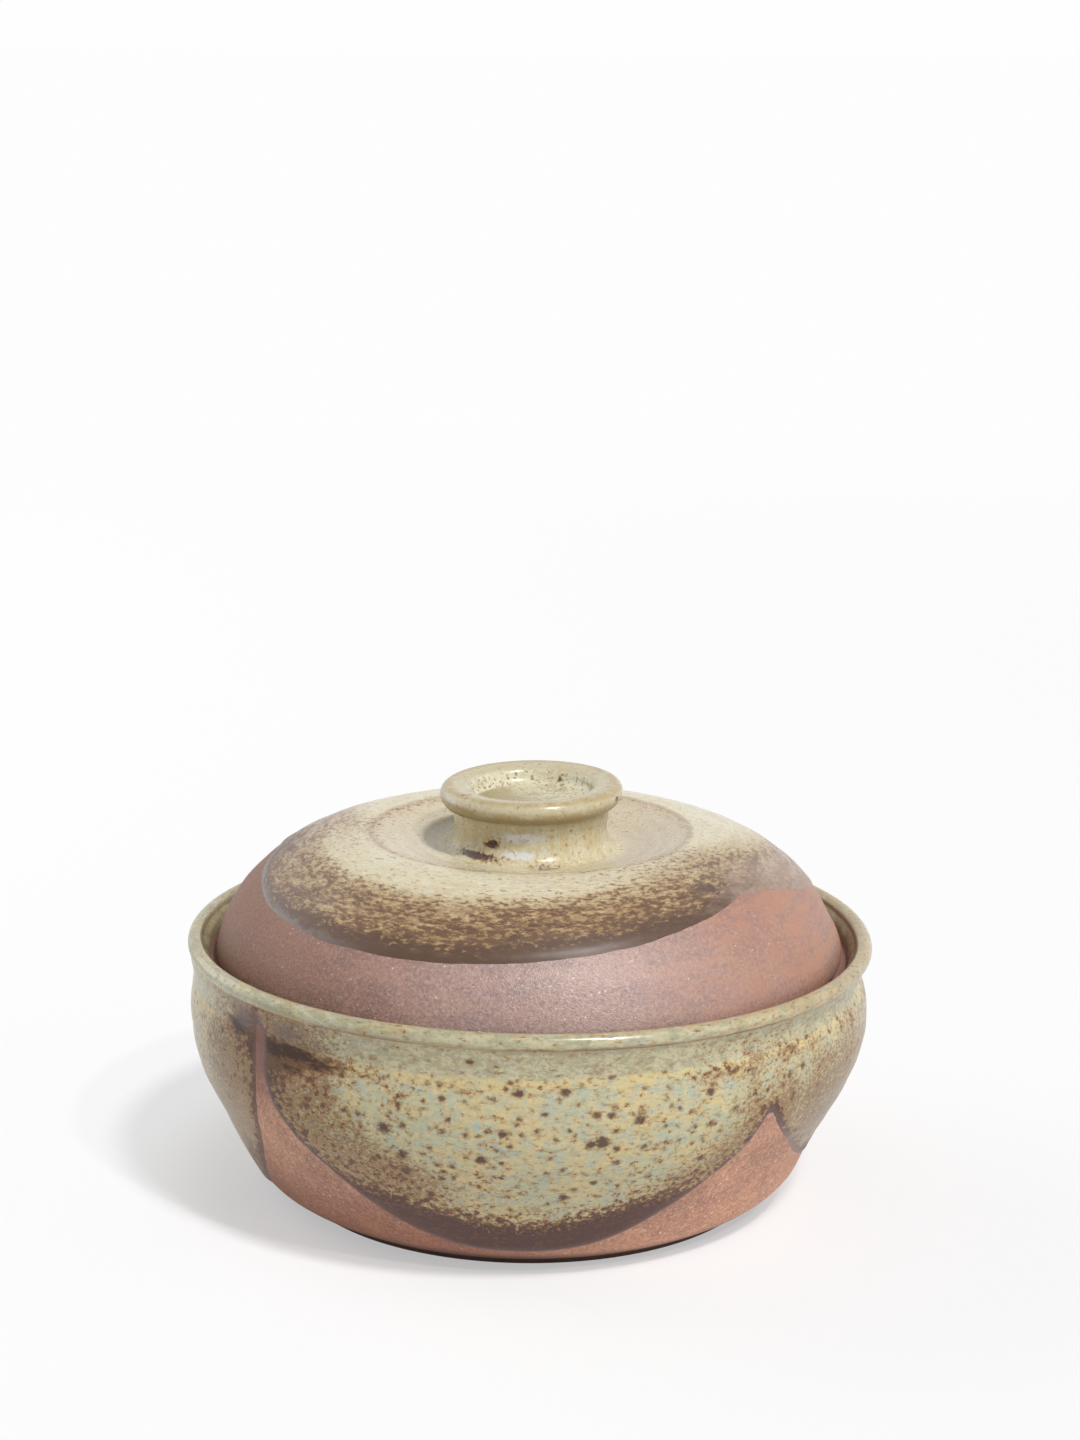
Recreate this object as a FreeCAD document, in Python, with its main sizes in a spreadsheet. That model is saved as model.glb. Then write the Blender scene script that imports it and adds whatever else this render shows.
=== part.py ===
"""Lidded stoneware bowl: a turned bowl with a gallery rim and an inset domed lid with a ring knob.

Millimetres. +Z is up and the origin is the centre of the foot, on the surface it stands on.
The clay pieces are turned on the Z axis. Each glaze coat is a thin turned skin on the clay,
and the outside coats end where the pot was dipped, tilted, once from each side.
"""
import FreeCAD, Part
import math
import os
import Sketcher

DIMENSIONS = {
    # overall
    "rim_radius": 100.0,
    "rim_height": 77.2,
    "glaze_thickness": 0.5,
    # foot and underside
    "foot_inner_radius": 61.0,
    "foot_outer_radius": 68.2,
    "base_recess_radius": 58.0,
    "base_recess_depth": 3.0,
    "foot_bevel": 1.5,
    # line above the foot where the glaze was wiped back
    "wipe_radius": 73.7,
    "wipe_height": 4.0,
    # outside wall, from the foot up to the neck
    "heel_top_radius": 80.0,
    "heel_top_height": 10.0,
    "heel_round": 24.0,
    "belly_start_radius": 93.0,
    "belly_start_height": 33.0,
    "belly_top_radius": 98.2,
    "belly_top_height": 59.0,
    "belly_round": 40.0,
    "neck_round": 24.0,
    "lip_round": 1.85,
    "lip_overhang": 1.2,
    "lip_underside_drop": 1.4,
    # gallery that the lid sits in
    "ledge_height": 69.6,
    "gallery_radius": 93.7,
    "gallery_fillet": 1.2,
    "ledge_inner_radius": 84.5,
    "ledge_nose_round": 1.5,
    "ledge_nose_height": 3.6,
    "ledge_root_round": 13.0,
    # inside wall
    "inside_belly_radius": 92.3,
    "inside_belly_height": 56.4,
    "inside_belly_round": 33.8,
    "inside_wall_top_radius": 87.6,
    "inside_wall_top_height": 36.0,
    "inside_heel_radius": 75.9,
    "inside_heel_height": 15.2,
    "inside_heel_round": 14.0,
    "floor_radius": 63.7,
    "floor_height": 8.0,
    # lid edge
    "seat_gap": 0.2,
    "lid_edge_radius": 91.8,
    "lid_edge_height": 72.0,
    "lid_edge_round": 1.6,
    "lid_edge_thickness": 6.1,
    # lid dome, from the edge up to the ridge
    "dome_start_radius": 91.2,
    "dome_start_height": 75.1,
    "edge_turn_round": 9.6,
    "ridge_radius": 47.4,
    "ridge_height": 105.7,
    "dome_round": 46.7,
    # dish turned in the top of the lid
    "dish_edge_radius": 46.0,
    "dish_edge_height": 105.5,
    "ridge_round": 5.0,
    "dish_slope_radius": 31.3,
    "dish_slope_height": 101.3,
    "dish_floor_radius": 27.5,
    "dish_floor_height": 100.8,
    "dish_round": 14.0,
    # underside of the lid
    "inner_dome_round": 40.4,
    "inner_crown_radius": 67.6,
    "inner_crown_height": 94.0,
    "inner_crown_round": 15.0,
    "ceiling_radius": 60.1,
    "ceiling_height": 96.0,
    # knob
    "knob_base_radius": 25.0,
    "knob_base_step": 0.4,
    "knob_fillet": 4.2,
    "waist_foot_radius": 21.9,
    "waist_foot_height": 105.0,
    "waist_radius": 21.7,
    "waist_top_height": 112.6,
    "cove_round": 2.3,
    "ring_under_radius": 23.6,
    "ring_under_height": 114.9,
    "ring_under_round": 2.6,
    "ring_outer_radius": 26.0,
    "ring_outer_height": 117.4,
    "ring_outer_round": 3.2,
    "ring_crest_radius": 23.4,
    "ring_crest_height": 120.5,
    "ring_crest_round": 7.0,
    "cup_lip_radius": 19.8,
    "cup_lip_height": 120.1,
    "cup_lip_round": 1.9,
    "cup_radius": 18.0,
    "cup_wall_height": 118.2,
    "cup_round": 3.4,
    "cup_floor_radius": 14.6,
    "cup_floor_height": 115.3,
    # dips: heading of the dipped side, tilt of the glaze surface, and its distance from the origin
    "bowl_front_heading": -91.2,
    "bowl_front_tilt": 8.9,
    "bowl_front_distance": 77.7,
    "bowl_left_heading": 173.7,
    "bowl_left_tilt": 1.6,
    "bowl_left_distance": 68.9,
    "bowl_right_heading": -1.8,
    "bowl_right_tilt": 21.0,
    "bowl_right_distance": 81.1,
    "bowl_back_heading": 92.0,
    "bowl_back_tilt": 9.5,
    "bowl_back_distance": 78.0,
    "lid_front_heading": -116.1,
    "lid_front_tilt": 83.0,
    "lid_front_distance": 99.3,
    "lid_back_heading": 72.9,
    "lid_back_tilt": 76.9,
    "lid_back_distance": 92.3,
    "dip_block": 320.0,
}


class Size:
    """A length that holds its value and the sheet formula it comes from."""

    def __init__(self, value, formula):
        self.value = value
        self.formula = formula

    def __add__(self, other):
        return Size(self.value + other.value, f"{self.formula} + {other.formula}")

    def __sub__(self, other):
        return Size(self.value - other.value, f"{self.formula} - ({other.formula})")


def make_sheet(doc):
    sheet = doc.addObject("Spreadsheet::Sheet", "Dimensions")
    for row, (name, value) in enumerate(DIMENSIONS.items(), start=1):
        sheet.set(f"A{row}", name)
        sheet.set(f"B{row}", str(value))
        sheet.setAlias(f"B{row}", name)
    doc.recompute()
    return sheet


def size(name):
    return Size(DIMENSIONS[name], f"Dimensions.{name}")


ZERO = Size(0.0, "0")


def point(radius, height):
    """One outline point: a dimension's name or a Size for each coordinate."""
    pair = (radius, height)
    return tuple(item if isinstance(item, Size) else size(item) for item in pair)


def line(end):
    return {"end": end, "round": None}


def left(end, arc_round):
    """An arc that turns left on its way to the end point."""
    return {"end": end, "round": size(arc_round), "turn": 1}


def right(end, arc_round):
    """An arc that turns right on its way to the end point."""
    return {"end": end, "round": size(arc_round), "turn": -1}


def arc_through(start, end, radius, turn):
    """The short arc of the given radius from start to end."""
    chord = end - start
    rise = math.sqrt(radius ** 2 - (chord.Length / 2) ** 2)
    normal = FreeCAD.Vector(-chord.y, chord.x, 0).normalize()
    centre = (start + end) / 2 + normal * rise * turn
    bulge = centre - normal * radius * turn
    return Part.Arc(start, bulge, end)


def pin_point(sketch, geometry, vertex, place):
    """Bind one vertex of the sketch to its radius and height in the sheet."""
    radius, height = place
    if radius is ZERO:
        sketch.addConstraint(Sketcher.Constraint("PointOnObject", geometry, vertex, -2))
    else:
        index = sketch.addConstraint(
            Sketcher.Constraint("DistanceX", -1, 1, geometry, vertex, radius.value))
        sketch.setExpression(f"Constraints[{index}]", radius.formula)
    if height is ZERO:
        sketch.addConstraint(Sketcher.Constraint("PointOnObject", geometry, vertex, -1))
    else:
        index = sketch.addConstraint(
            Sketcher.Constraint("DistanceY", -1, 1, geometry, vertex, height.value))
        sketch.setExpression(f"Constraints[{index}]", height.formula)


def draw(sketch, start, moves, closed):
    """Draw an outline from start through moves, each point and arc bound to the sheet."""
    here = start
    for number, move in enumerate(moves):
        a = FreeCAD.Vector(here[0].value, here[1].value, 0)
        b = FreeCAD.Vector(move["end"][0].value, move["end"][1].value, 0)
        if move["round"] is None:
            geometry = sketch.addGeometry(Part.LineSegment(a, b), False)
            first, last = 1, 2
        else:
            arc = arc_through(a, b, move["round"].value, move["turn"])
            geometry = sketch.addGeometry(arc, False)
            first, last = (1, 2) if move["turn"] > 0 else (2, 1)
            index = sketch.addConstraint(
                Sketcher.Constraint("Radius", geometry, move["round"].value))
            sketch.setExpression(f"Constraints[{index}]", move["round"].formula)
        if number == 0:
            opening = (geometry, first)
            pin_point(sketch, geometry, first, start)
        else:
            sketch.addConstraint(
                Sketcher.Constraint("Coincident", before[0], before[1], geometry, first))
        before = (geometry, last)
        if closed and number == len(moves) - 1:
            sketch.addConstraint(
                Sketcher.Constraint("Coincident", geometry, last, opening[0], opening[1]))
        else:
            pin_point(sketch, geometry, last, move["end"])
        here = move["end"]


def turned_body(doc, label, start, moves):
    """A solid turned on the Z axis from a closed outline."""
    body = doc.addObject("PartDesign::Body", f"{label}_body")
    body.Label = label
    sketch = body.newObject("Sketcher::SketchObject", f"{label}_outline")
    plane = next(item for item in body.Origin.OriginFeatures if item.Role == "XZ_Plane")
    sketch.AttachmentSupport = [(plane, "")]
    sketch.MapMode = "FlatFace"
    draw(sketch, start, moves + [line(start)], closed=True)
    turning = body.newObject("PartDesign::Revolution", f"{label}_turning")
    turning.Profile = sketch
    turning.ReferenceAxis = (sketch, ["V_Axis"])
    turning.Angle = 360.0
    body.Tip = turning
    return body


def turned_coat(doc, label, start, moves, side):
    """A skin of glaze turned on the Z axis, laid on one side of an open outline."""
    sketch = doc.addObject("Sketcher::SketchObject", f"{label}_line")
    sketch.Placement = FreeCAD.Placement(
        FreeCAD.Vector(0, 0, 0), FreeCAD.Rotation(FreeCAD.Vector(1, 0, 0), 90))
    draw(sketch, start, moves, closed=False)
    doc.recompute()
    section = doc.addObject("Part::Offset2D", f"{label}_section")
    section.Source = sketch
    section.Mode = "Skin"
    section.Join = "Intersection"
    section.Fill = True
    section.setExpression("Value", f"{side} * Dimensions.glaze_thickness")
    doc.recompute()
    coat = doc.addObject("Part::Revolution", f"{label}_coat")
    coat.Source = section
    coat.Axis = FreeCAD.Vector(0, 0, 1)
    coat.Base = FreeCAD.Vector(0, 0, 0)
    coat.Angle = 360.0
    coat.Solid = True
    coat.Label = label
    return coat


def bare_side(doc, sheet, name):
    """A block over everything that one dip left bare: its face is the glaze surface."""
    heading = sheet.get(f"{name}_heading")
    tilt = sheet.get(f"{name}_tilt")
    distance = sheet.get(f"{name}_distance")
    reach = sheet.get("dip_block")
    block = doc.addObject("Part::Box", f"{name}_bare_side")
    for side in ("Length", "Width", "Height"):
        block.setExpression(side, "Dimensions.dip_block")
    turn = FreeCAD.Rotation(heading, -tilt, 0)
    corner = FreeCAD.Vector(distance - reach, -reach / 2, -reach / 2)
    block.Placement = FreeCAD.Placement(turn.multVec(corner), turn)
    return block


def dipped(doc, sheet, coat, label, dips):
    """The coat without the patch that no dip reached."""
    bare = doc.addObject("Part::MultiCommon", f"{label}_bare_patch")
    bare.Shapes = [bare_side(doc, sheet, name) for name in dips]
    coat.Label = f"{label}_before_dips"
    cut = doc.addObject("Part::Cut", f"{label}_cut")
    cut.Base = coat
    cut.Tool = bare
    cut.Label = label
    return cut


doc = FreeCAD.newDocument("LiddedBowl")
sheet = make_sheet(doc)
glaze = size("glaze_thickness")

# bowl, outside: from the wiped line above the foot up to the underside of the lip
heel = point(size("foot_outer_radius") + glaze, "foot_bevel")
lip_radius = size("rim_radius") - glaze - size("lip_round")
lip_height = size("rim_height") - glaze - size("lip_round")
lip_under = point(lip_radius + size("lip_overhang"), lip_height - size("lip_underside_drop"))
wipe_line = point("wipe_radius", "wipe_height")
outside_wall = [
    left(point("heel_top_radius", "heel_top_height"), "heel_round"),
    line(point("belly_start_radius", "belly_start_height")),
    left(point("belly_top_radius", "belly_top_height"), "belly_round"),
    right(lip_under, "neck_round"),
]

# bowl, rim: over the rounded lip and down the gallery wall to the ledge
ledge_outer = point(size("gallery_radius") - size("gallery_fillet"), "ledge_height")
gallery_foot = point("gallery_radius", size("ledge_height") + size("gallery_fillet"))
rim = [
    left(point(lip_radius, lip_height + size("lip_round")), "lip_round"),
    left(point(lip_radius - size("lip_round"), lip_height), "lip_round"),
    line(gallery_foot),
]

# bowl, inside: under the ledge's nose, down the wall and in to the middle of the floor
ledge_inner = point(size("ledge_inner_radius") + size("ledge_nose_round"), "ledge_height")
nose = point("ledge_inner_radius", size("ledge_height") - size("ledge_nose_round"))
floor_centre = point(ZERO, "floor_height")
inside_wall = [
    line(point("ledge_inner_radius", size("ledge_height") - size("ledge_nose_height"))),
    right(point("inside_belly_radius", "inside_belly_height"), "ledge_root_round"),
    right(point("inside_wall_top_radius", "inside_wall_top_height"), "inside_belly_round"),
    line(point("inside_heel_radius", "inside_heel_height")),
    right(point("floor_radius", "floor_height"), "inside_heel_round"),
    line(floor_centre),
]

base_centre = point(ZERO, "base_recess_depth")
bowl_outline = [
    line(point("base_recess_radius", "base_recess_depth")),
    line(point("foot_inner_radius", ZERO)),
    line(point("foot_outer_radius", ZERO)),
    line(heel),
    left(wipe_line, "heel_round"),
    *outside_wall,
    *rim,
    right(ledge_outer, "gallery_fillet"),
    line(ledge_inner),
    left(nose, "ledge_nose_round"),
    *inside_wall,
]
bowl = turned_body(doc, "bowl", base_centre, bowl_outline)

# lid: the underside rises from the edge to a flat ceiling
edge_bottom = size("ledge_height") + size("seat_gap")
edge_inner_radius = size("lid_edge_radius") - size("lid_edge_thickness")
ceiling_centre = point(ZERO, "ceiling_height")
edge_inside = point(edge_inner_radius, "lid_edge_height")
lid_underside = [
    line(point("ceiling_radius", "ceiling_height")),
    right(point("inner_crown_radius", "inner_crown_height"), "inner_crown_round"),
    right(edge_inside, "inner_dome_round"),
]

# lid: the edge stands on the ledge on a flat land between two rounded corners
edge_outside = point("lid_edge_radius", "lid_edge_height")
lid_edge = [
    line(point(edge_inner_radius, edge_bottom + size("lid_edge_round"))),
    left(point(edge_inner_radius + size("lid_edge_round"), edge_bottom), "lid_edge_round"),
    line(point(size("lid_edge_radius") - size("lid_edge_round"), edge_bottom)),
    left(point("lid_edge_radius", edge_bottom + size("lid_edge_round")), "lid_edge_round"),
    line(edge_outside),
]

# lid: the dome rises to a ridge, and a shallow dish falls from the ridge to the knob
dish_floor = point("dish_floor_radius", "dish_floor_height")
dome = [
    left(point("dome_start_radius", "dome_start_height"), "edge_turn_round"),
    left(point("ridge_radius", "ridge_height"), "dome_round"),
    left(point("dish_edge_radius", "dish_edge_height"), "ridge_round"),
    line(point("dish_slope_radius", "dish_slope_height")),
    right(dish_floor, "dish_round"),
]
lid_outline = lid_underside + lid_edge + dome + [line(point(ZERO, "dish_floor_height"))]
lid = turned_body(doc, "lid", ceiling_centre, lid_outline)

# knob: a waist carries a wide ring with a shallow cup in its top
knob_foot = point("knob_base_radius", "dish_floor_height")
knob_side = [
    line(point("knob_base_radius", size("dish_floor_height") + size("knob_base_step"))),
    right(point("waist_foot_radius", "waist_foot_height"), "knob_fillet"),
    line(point("waist_radius", "waist_top_height")),
    right(point("ring_under_radius", "ring_under_height"), "cove_round"),
    left(point("ring_outer_radius", "ring_outer_height"), "ring_under_round"),
    left(point("ring_crest_radius", "ring_crest_height"), "ring_outer_round"),
    left(point("cup_lip_radius", "cup_lip_height"), "ring_crest_round"),
    left(point("cup_radius", "cup_wall_height"), "cup_lip_round"),
    right(point("cup_floor_radius", "cup_floor_height"), "cup_round"),
    line(point(ZERO, "cup_floor_height")),
]
knob_seat = point(ZERO, "dish_floor_height")
knob = turned_body(doc, "knob", knob_seat, [line(knob_foot)] + knob_side)

# glaze on the bowl: dipped outside, poured inside, and a separate dip for the rim
bowl_outside_glaze = dipped(
    doc, sheet,
    turned_coat(doc, "bowl_outside_glaze", wipe_line, outside_wall, side=-1),
    "bowl_outside_glaze",
    ["bowl_front", "bowl_left", "bowl_right", "bowl_back"])
bowl_rim_glaze = turned_coat(doc, "bowl_rim_glaze", lip_under, rim, side=-1)
bowl_inside_glaze = turned_coat(doc, "bowl_inside_glaze", nose, inside_wall, side=-1)

# glaze on the lid: one coat runs over the dome, the dish and the knob, and one lines the inside
lid_outside_glaze = dipped(
    doc, sheet,
    turned_coat(doc, "lid_outside_glaze", edge_outside,
                dome + [line(knob_foot)] + knob_side, side=-1),
    "lid_outside_glaze",
    ["lid_front", "lid_back"])
lid_inside_glaze = turned_coat(doc, "lid_inside_glaze", ceiling_centre, lid_underside, side=1)

doc.recompute()

for item in doc.Objects:
    if "Invalid" in item.State or "Error" in item.State:
        raise RuntimeError(f"{item.Label} failed: {item.State}")

nodes = [
    bowl, bowl_outside_glaze, bowl_rim_glaze, bowl_inside_glaze,
    lid, lid_outside_glaze, lid_inside_glaze, knob,
]
os.makedirs("parts", exist_ok=True)
for node in nodes:
    if node.Shape.isNull() or not node.Shape.isValid():
        raise RuntimeError(f"{node.Label} has no valid shape")
    box = node.Shape.optimalBoundingBox(False, False)
    print(f"{node.Label}: {node.Shape.Volume / 1000:.1f} cm3, {len(node.Shape.Solids)} solid, "
          f"radius {box.XMax:.2f}, z {box.ZMin:.2f} to {box.ZMax:.2f}")
    node.Shape.exportStep(f"parts/{node.Label}.step")
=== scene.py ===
# %% [markdown]
# # A lidded stoneware bowl, thrown and glazed round its CAD frame
#
# The pot has two things that come apart: a bowl, and a lid that sits in a gallery inside the rim.
# The CAD frame gives every solid its exact place. Here each solid is replaced by a piece with the
# small unevenness of a hand-thrown pot, and each piece gets a finish made only of nodes.
# The cells run from the camera to the clay, then the glaze, then the finishes.

# %% Load the frame
import math
import bpy
from mathutils import Matrix, Vector, noise


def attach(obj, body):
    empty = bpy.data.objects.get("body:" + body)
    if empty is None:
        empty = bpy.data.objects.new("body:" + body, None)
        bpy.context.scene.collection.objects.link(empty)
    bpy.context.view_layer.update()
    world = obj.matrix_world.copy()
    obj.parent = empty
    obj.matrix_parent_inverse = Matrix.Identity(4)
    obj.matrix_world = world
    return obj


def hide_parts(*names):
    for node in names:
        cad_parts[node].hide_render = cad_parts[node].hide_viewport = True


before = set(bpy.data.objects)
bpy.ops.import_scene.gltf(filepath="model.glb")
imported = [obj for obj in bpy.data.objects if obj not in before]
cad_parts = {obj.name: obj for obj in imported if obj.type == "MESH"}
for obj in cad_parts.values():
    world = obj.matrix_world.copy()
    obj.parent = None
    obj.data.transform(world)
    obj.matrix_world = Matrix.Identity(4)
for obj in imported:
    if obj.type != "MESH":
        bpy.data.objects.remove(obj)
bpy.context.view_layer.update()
MM = 0.001

# %% [markdown]
# ## The camera
#
# The pot was looked at from in front and a little above. The place, the pitch and the small roll were
# solved from the ovals of the rim and the foot, so the camera is set from numbers and not by eye.

# %% Camera
CAMERA_PLACE = Vector((0.0, -0.8434, 0.3325))
PITCH, YAW, ROLL = (math.radians(angle) for angle in (12.95, 0.18, 0.47))

turn = (Matrix.Rotation(-YAW, 3, "Z")
        @ Matrix.Rotation(math.radians(90) - PITCH, 3, "X")
        @ Matrix.Rotation(ROLL, 3, "Z"))
bpy.ops.object.select_all(action="DESELECT")
bpy.ops.object.camera_add(location=CAMERA_PLACE, rotation=turn.to_euler())
camera = bpy.context.object
camera.data.lens = 75.0
camera.data.sensor_width = 36.0
camera.data.clip_end = 200.0
bpy.context.scene.camera = camera
print("Camera looks down by", round(math.degrees(PITCH), 1), "degrees")

# %% [markdown]
# ## A small language for finishes
#
# A finish is a tree of nodes, and long trees are hard to read as lists of links. `Tone` wraps one
# output of a node, so that sums and products of tones can be written as plain sums and products.
# `Finish.node` adds any node from its type, its settings and the values or tones of its sockets. A colour
# is built as a potter would think of it, in washes: each goes over the colour so far, where its share
# says so. Colours are written as levels from 0 to 255, and places on the pot in metres.

# %% Tones
class Tone:
    """A number or a colour on its way from one node to the next."""

    def __init__(self, finish, socket):
        self.finish = finish
        self.socket = socket

    def reckon(self, operation, first, second):
        return self.finish.node("ShaderNodeMath", {"operation": operation}, {0: first, 1: second})

    def __add__(self, other):
        return self.reckon("ADD", self, other)

    def __radd__(self, other):
        return self.reckon("ADD", other, self)

    def __sub__(self, other):
        return self.reckon("SUBTRACT", self, other)

    def __rsub__(self, other):
        return self.reckon("SUBTRACT", other, self)

    def __mul__(self, other):
        return self.reckon("MULTIPLY", self, other)

    def __rmul__(self, other):
        return self.reckon("MULTIPLY", other, self)


def paint(colour):
    """The light that a screen colour, three levels from 0 to 255, stands for. A tone stays as it is."""
    if isinstance(colour, Tone):
        return colour
    light = []
    for level in colour:
        share = level / 255
        light.append(share / 12.92 if share <= 0.04045 else ((share + 0.055) / 1.055) ** 2.4)
    return (*light, 1.0)


def rise(value, low, high):
    """0 below low and 1 above high, with a soft step between; low may be the larger."""
    return value.finish.node("ShaderNodeMapRange", {"interpolation_type": "SMOOTHSTEP"},
                             {"Value": value, "From Min": low, "From Max": high})


def follow(value, pairs):
    """A level from 0 to 1 that follows (value, level) pairs, straight between them."""
    first, last = pairs[0][0], pairs[-1][0]
    stops = [((place - first) / (last - first), level) for place, level in pairs]
    finish = value.finish
    share = finish.node("ShaderNodeMapRange", None, {"Value": value, "From Min": first, "From Max": last})
    return finish.node("ShaderNodeValToRGB", {"stops": stops}, {0: share})


def blend(share, first, second):
    """The first colour where the share is 0, and the second where it is 1."""
    colours = {6: paint(first), 7: paint(second)}
    return share.finish.node("ShaderNodeMix", {"data_type": "RGBA"}, {0: share, **colours}, output=2)


def shade(colour, amount):
    """The colour made lighter or darker by a tone."""
    light = colour if isinstance(colour, Tone) else paint(colour)[:3]
    return amount.finish.node("ShaderNodeVectorMath", {"operation": "SCALE"}, {0: light, 3: amount})


def bump(height, distance, strength):
    """Relief of the given depth in millimetres, without any change to the mesh."""
    return height.finish.node("ShaderNodeBump", None,
                              {"Height": height, "Distance": distance * MM, "Strength": strength})


print("A screen grey of 128 stands for", round(paint((128, 128, 128))[0], 3), "of full light")


# %% Finishes
class Finish:
    """One material, built node by node. It keeps its colour so far, and each wash goes over that."""

    def __init__(self, name):
        self.material = bpy.data.materials.new(name)
        self.material.use_nodes = True
        self.nodes = self.material.node_tree.nodes
        self.links = self.material.node_tree.links
        self.nodes.clear()

    def node(self, kind, settings=None, sockets=None, output=0):
        made = self.nodes.new(kind)
        for name, value in (settings or {}).items():
            if name == "stops":
                self.set_stops(made.color_ramp, value)
            else:
                setattr(made, name, value)
        for key, value in (sockets or {}).items():
            if isinstance(value, Tone):
                self.links.new(value.socket, made.inputs[key])
            else:
                made.inputs[key].default_value = value
        return Tone(self, made.outputs[output])

    def set_stops(self, ramp, stops):
        """Stops of a ramp as (place from 0 to 1, level) pairs in rising order."""
        ramp.elements.remove(ramp.elements[-1])
        for number, (place, level) in enumerate(stops):
            stop = ramp.elements.new(place) if number else ramp.elements[0]
            stop.position = place
            stop.color = (level, level, level, 1.0)

    def vector(self, operation, first, second=None, output=0):
        """Vector maths; lengths and distances are its output 1."""
        sockets = {0: first} if second is None else {0: first, 1: second}
        return self.node("ShaderNodeVectorMath", {"operation": operation}, sockets, output)

    def place(self):
        return self.node("ShaderNodeTexCoord", output="Object")

    def attribute(self, name):
        return self.node("ShaderNodeAttribute", {"attribute_name": name}, output="Fac")

    def parts(self, vector):
        return [self.node("ShaderNodeSeparateXYZ", sockets={0: vector}, output=axis) for axis in range(3)]

    def noise(self, where, size, detail=2.0, roughness=0.5, shift=0.0):
        """Cloudy noise, about 0.5 on average, with blotches of the given size in millimetres."""
        if shift:
            where = self.vector("ADD", where, (shift, shift * 0.7, -shift))
        sockets = {"Vector": where, "Scale": 1 / (size * MM), "Detail": detail, "Roughness": roughness}
        return self.node("ShaderNodeTexNoise", None, sockets)

    def wash(self, share, colour):
        """Lay a colour over the colour so far, as strongly as the share says."""
        self.colour = blend(share, self.colour, colour)

    def surface(self, roughness, relief, specular=0.5):
        """Close the material with the colour so far."""
        sockets = {"Base Color": self.colour, "Roughness": roughness, "Normal": relief}
        sockets["Specular IOR Level"] = specular
        self.finish_with(self.node("ShaderNodeBsdfPrincipled", None, sockets))

    def finish_with(self, shader):
        out = self.nodes.new("ShaderNodeOutputMaterial")
        self.links.new(shader.socket, out.inputs["Surface"])

    def tell(self):
        print(self.material.name, "now has", len(self.nodes), "nodes")


print("Finishes are ready to be mixed")

# %% [markdown]
# ## Table and light
#
# The pot stands on a white sheet that runs out of sight. Two lamps at the front right light it. The low
# one throws the knob's shadow across the lid and the long edge on the table, and the high one leaves the
# dark crescent round the foot. Both directions were solved from those shadows. A window at the right, a
# pale wall at the back left and a plain white sky fill in. The sheet is partly a light of its own, but
# only for the camera and for reflections, so it stays white. It glows more at the left, where the photo's
# shadow is pale. Far from the pot it is only glow, which hides the line where it meets the sky.

# %% Table
SHEET_SIZE = 90.0
SHEET_GAP = 0.00005
SHEET_GLOW = 0.44
LEFT_GLOW = 0.20
PAPER_WHITE = (0.92, 0.915, 0.92, 1.0)
GLOW_WHITE = (0.985, 0.985, 0.995, 1.0)

bpy.ops.object.select_all(action="DESELECT")
bpy.ops.mesh.primitive_plane_add(size=SHEET_SIZE, location=(0, 0, -SHEET_GAP))
sheet = bpy.context.object
sheet.name = "white_sheet"
bpy.ops.object.transform_apply(location=True, rotation=False, scale=False)

white = Finish("white_sheet")
seen = white.node("ShaderNodeLightPath", output="Is Camera Ray")
mirrored = white.node("ShaderNodeLightPath", output="Is Glossy Ray")
paper = white.node("ShaderNodeBsdfDiffuse", None, {"Color": PAPER_WHITE})
glow = white.node("ShaderNodeEmission", None, {"Color": GLOW_WHITE, "Strength": 1.0})
away = white.vector("LENGTH", white.place(), output=1)
far_off = rise(away, 0.40, 1.80)
left_of_pot = rise(away, 0.086, 0.125) * rise(white.parts(white.place())[0], -0.050, -0.085)
near_share = left_of_pot * LEFT_GLOW + SHEET_GLOW
share = far_off * (1 - near_share) + near_share
mixed = white.node("ShaderNodeMixShader", None, {0: (seen + mirrored) * share, 1: paper, 2: glow})
white.finish_with(mixed)
sheet.data.materials.append(white.material)
print("The sheet is", SHEET_SIZE, "m wide, and", round(SHEET_GLOW * 100), "% of it is glow")

# %% Lamps and sky
SKY_LEVEL = 0.27
SEEN_SKY_LEVEL = 0.99
LAMP_AWAY = 2.0
LOW_LAMP = Vector((44.7, -59.8, 76.7)).normalized()
HIGH_LAMP = Vector((36.0, -50.0, 100.0)).normalized()
POT_MIDDLE = Vector((0, 0, 0.08))


def far_lamp(name, direction, level, width):
    """A lamp so far away that its light is parallel; the width in degrees softens its shadow."""
    bpy.ops.object.light_add(type="SUN", location=direction * LAMP_AWAY)
    lamp = bpy.context.object
    lamp.name = name
    lamp.data.energy = level
    lamp.data.angle = math.radians(width)
    lamp.rotation_euler = direction.to_track_quat("Z", "Y").to_euler()


far_lamp("low_lamp", LOW_LAMP, 0.58, 2.6)
far_lamp("high_lamp", HIGH_LAMP, 1.95, 8.0)


def near_lamp(name, place, size, power):
    """A square lamp beside the pot, turned to face it."""
    bpy.ops.object.light_add(type="AREA", location=place)
    lamp = bpy.context.object
    lamp.name = name
    lamp.data.size = size
    lamp.data.energy = power
    lamp.rotation_euler = (place - POT_MIDDLE).to_track_quat("Z", "Y").to_euler()


near_lamp("window", Vector((1.60, -0.45, 0.55)), 1.1, 4.0)
near_lamp("pale_wall", Vector((-1.50, 0.80, 0.80)), 1.6, 9.0)

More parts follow.
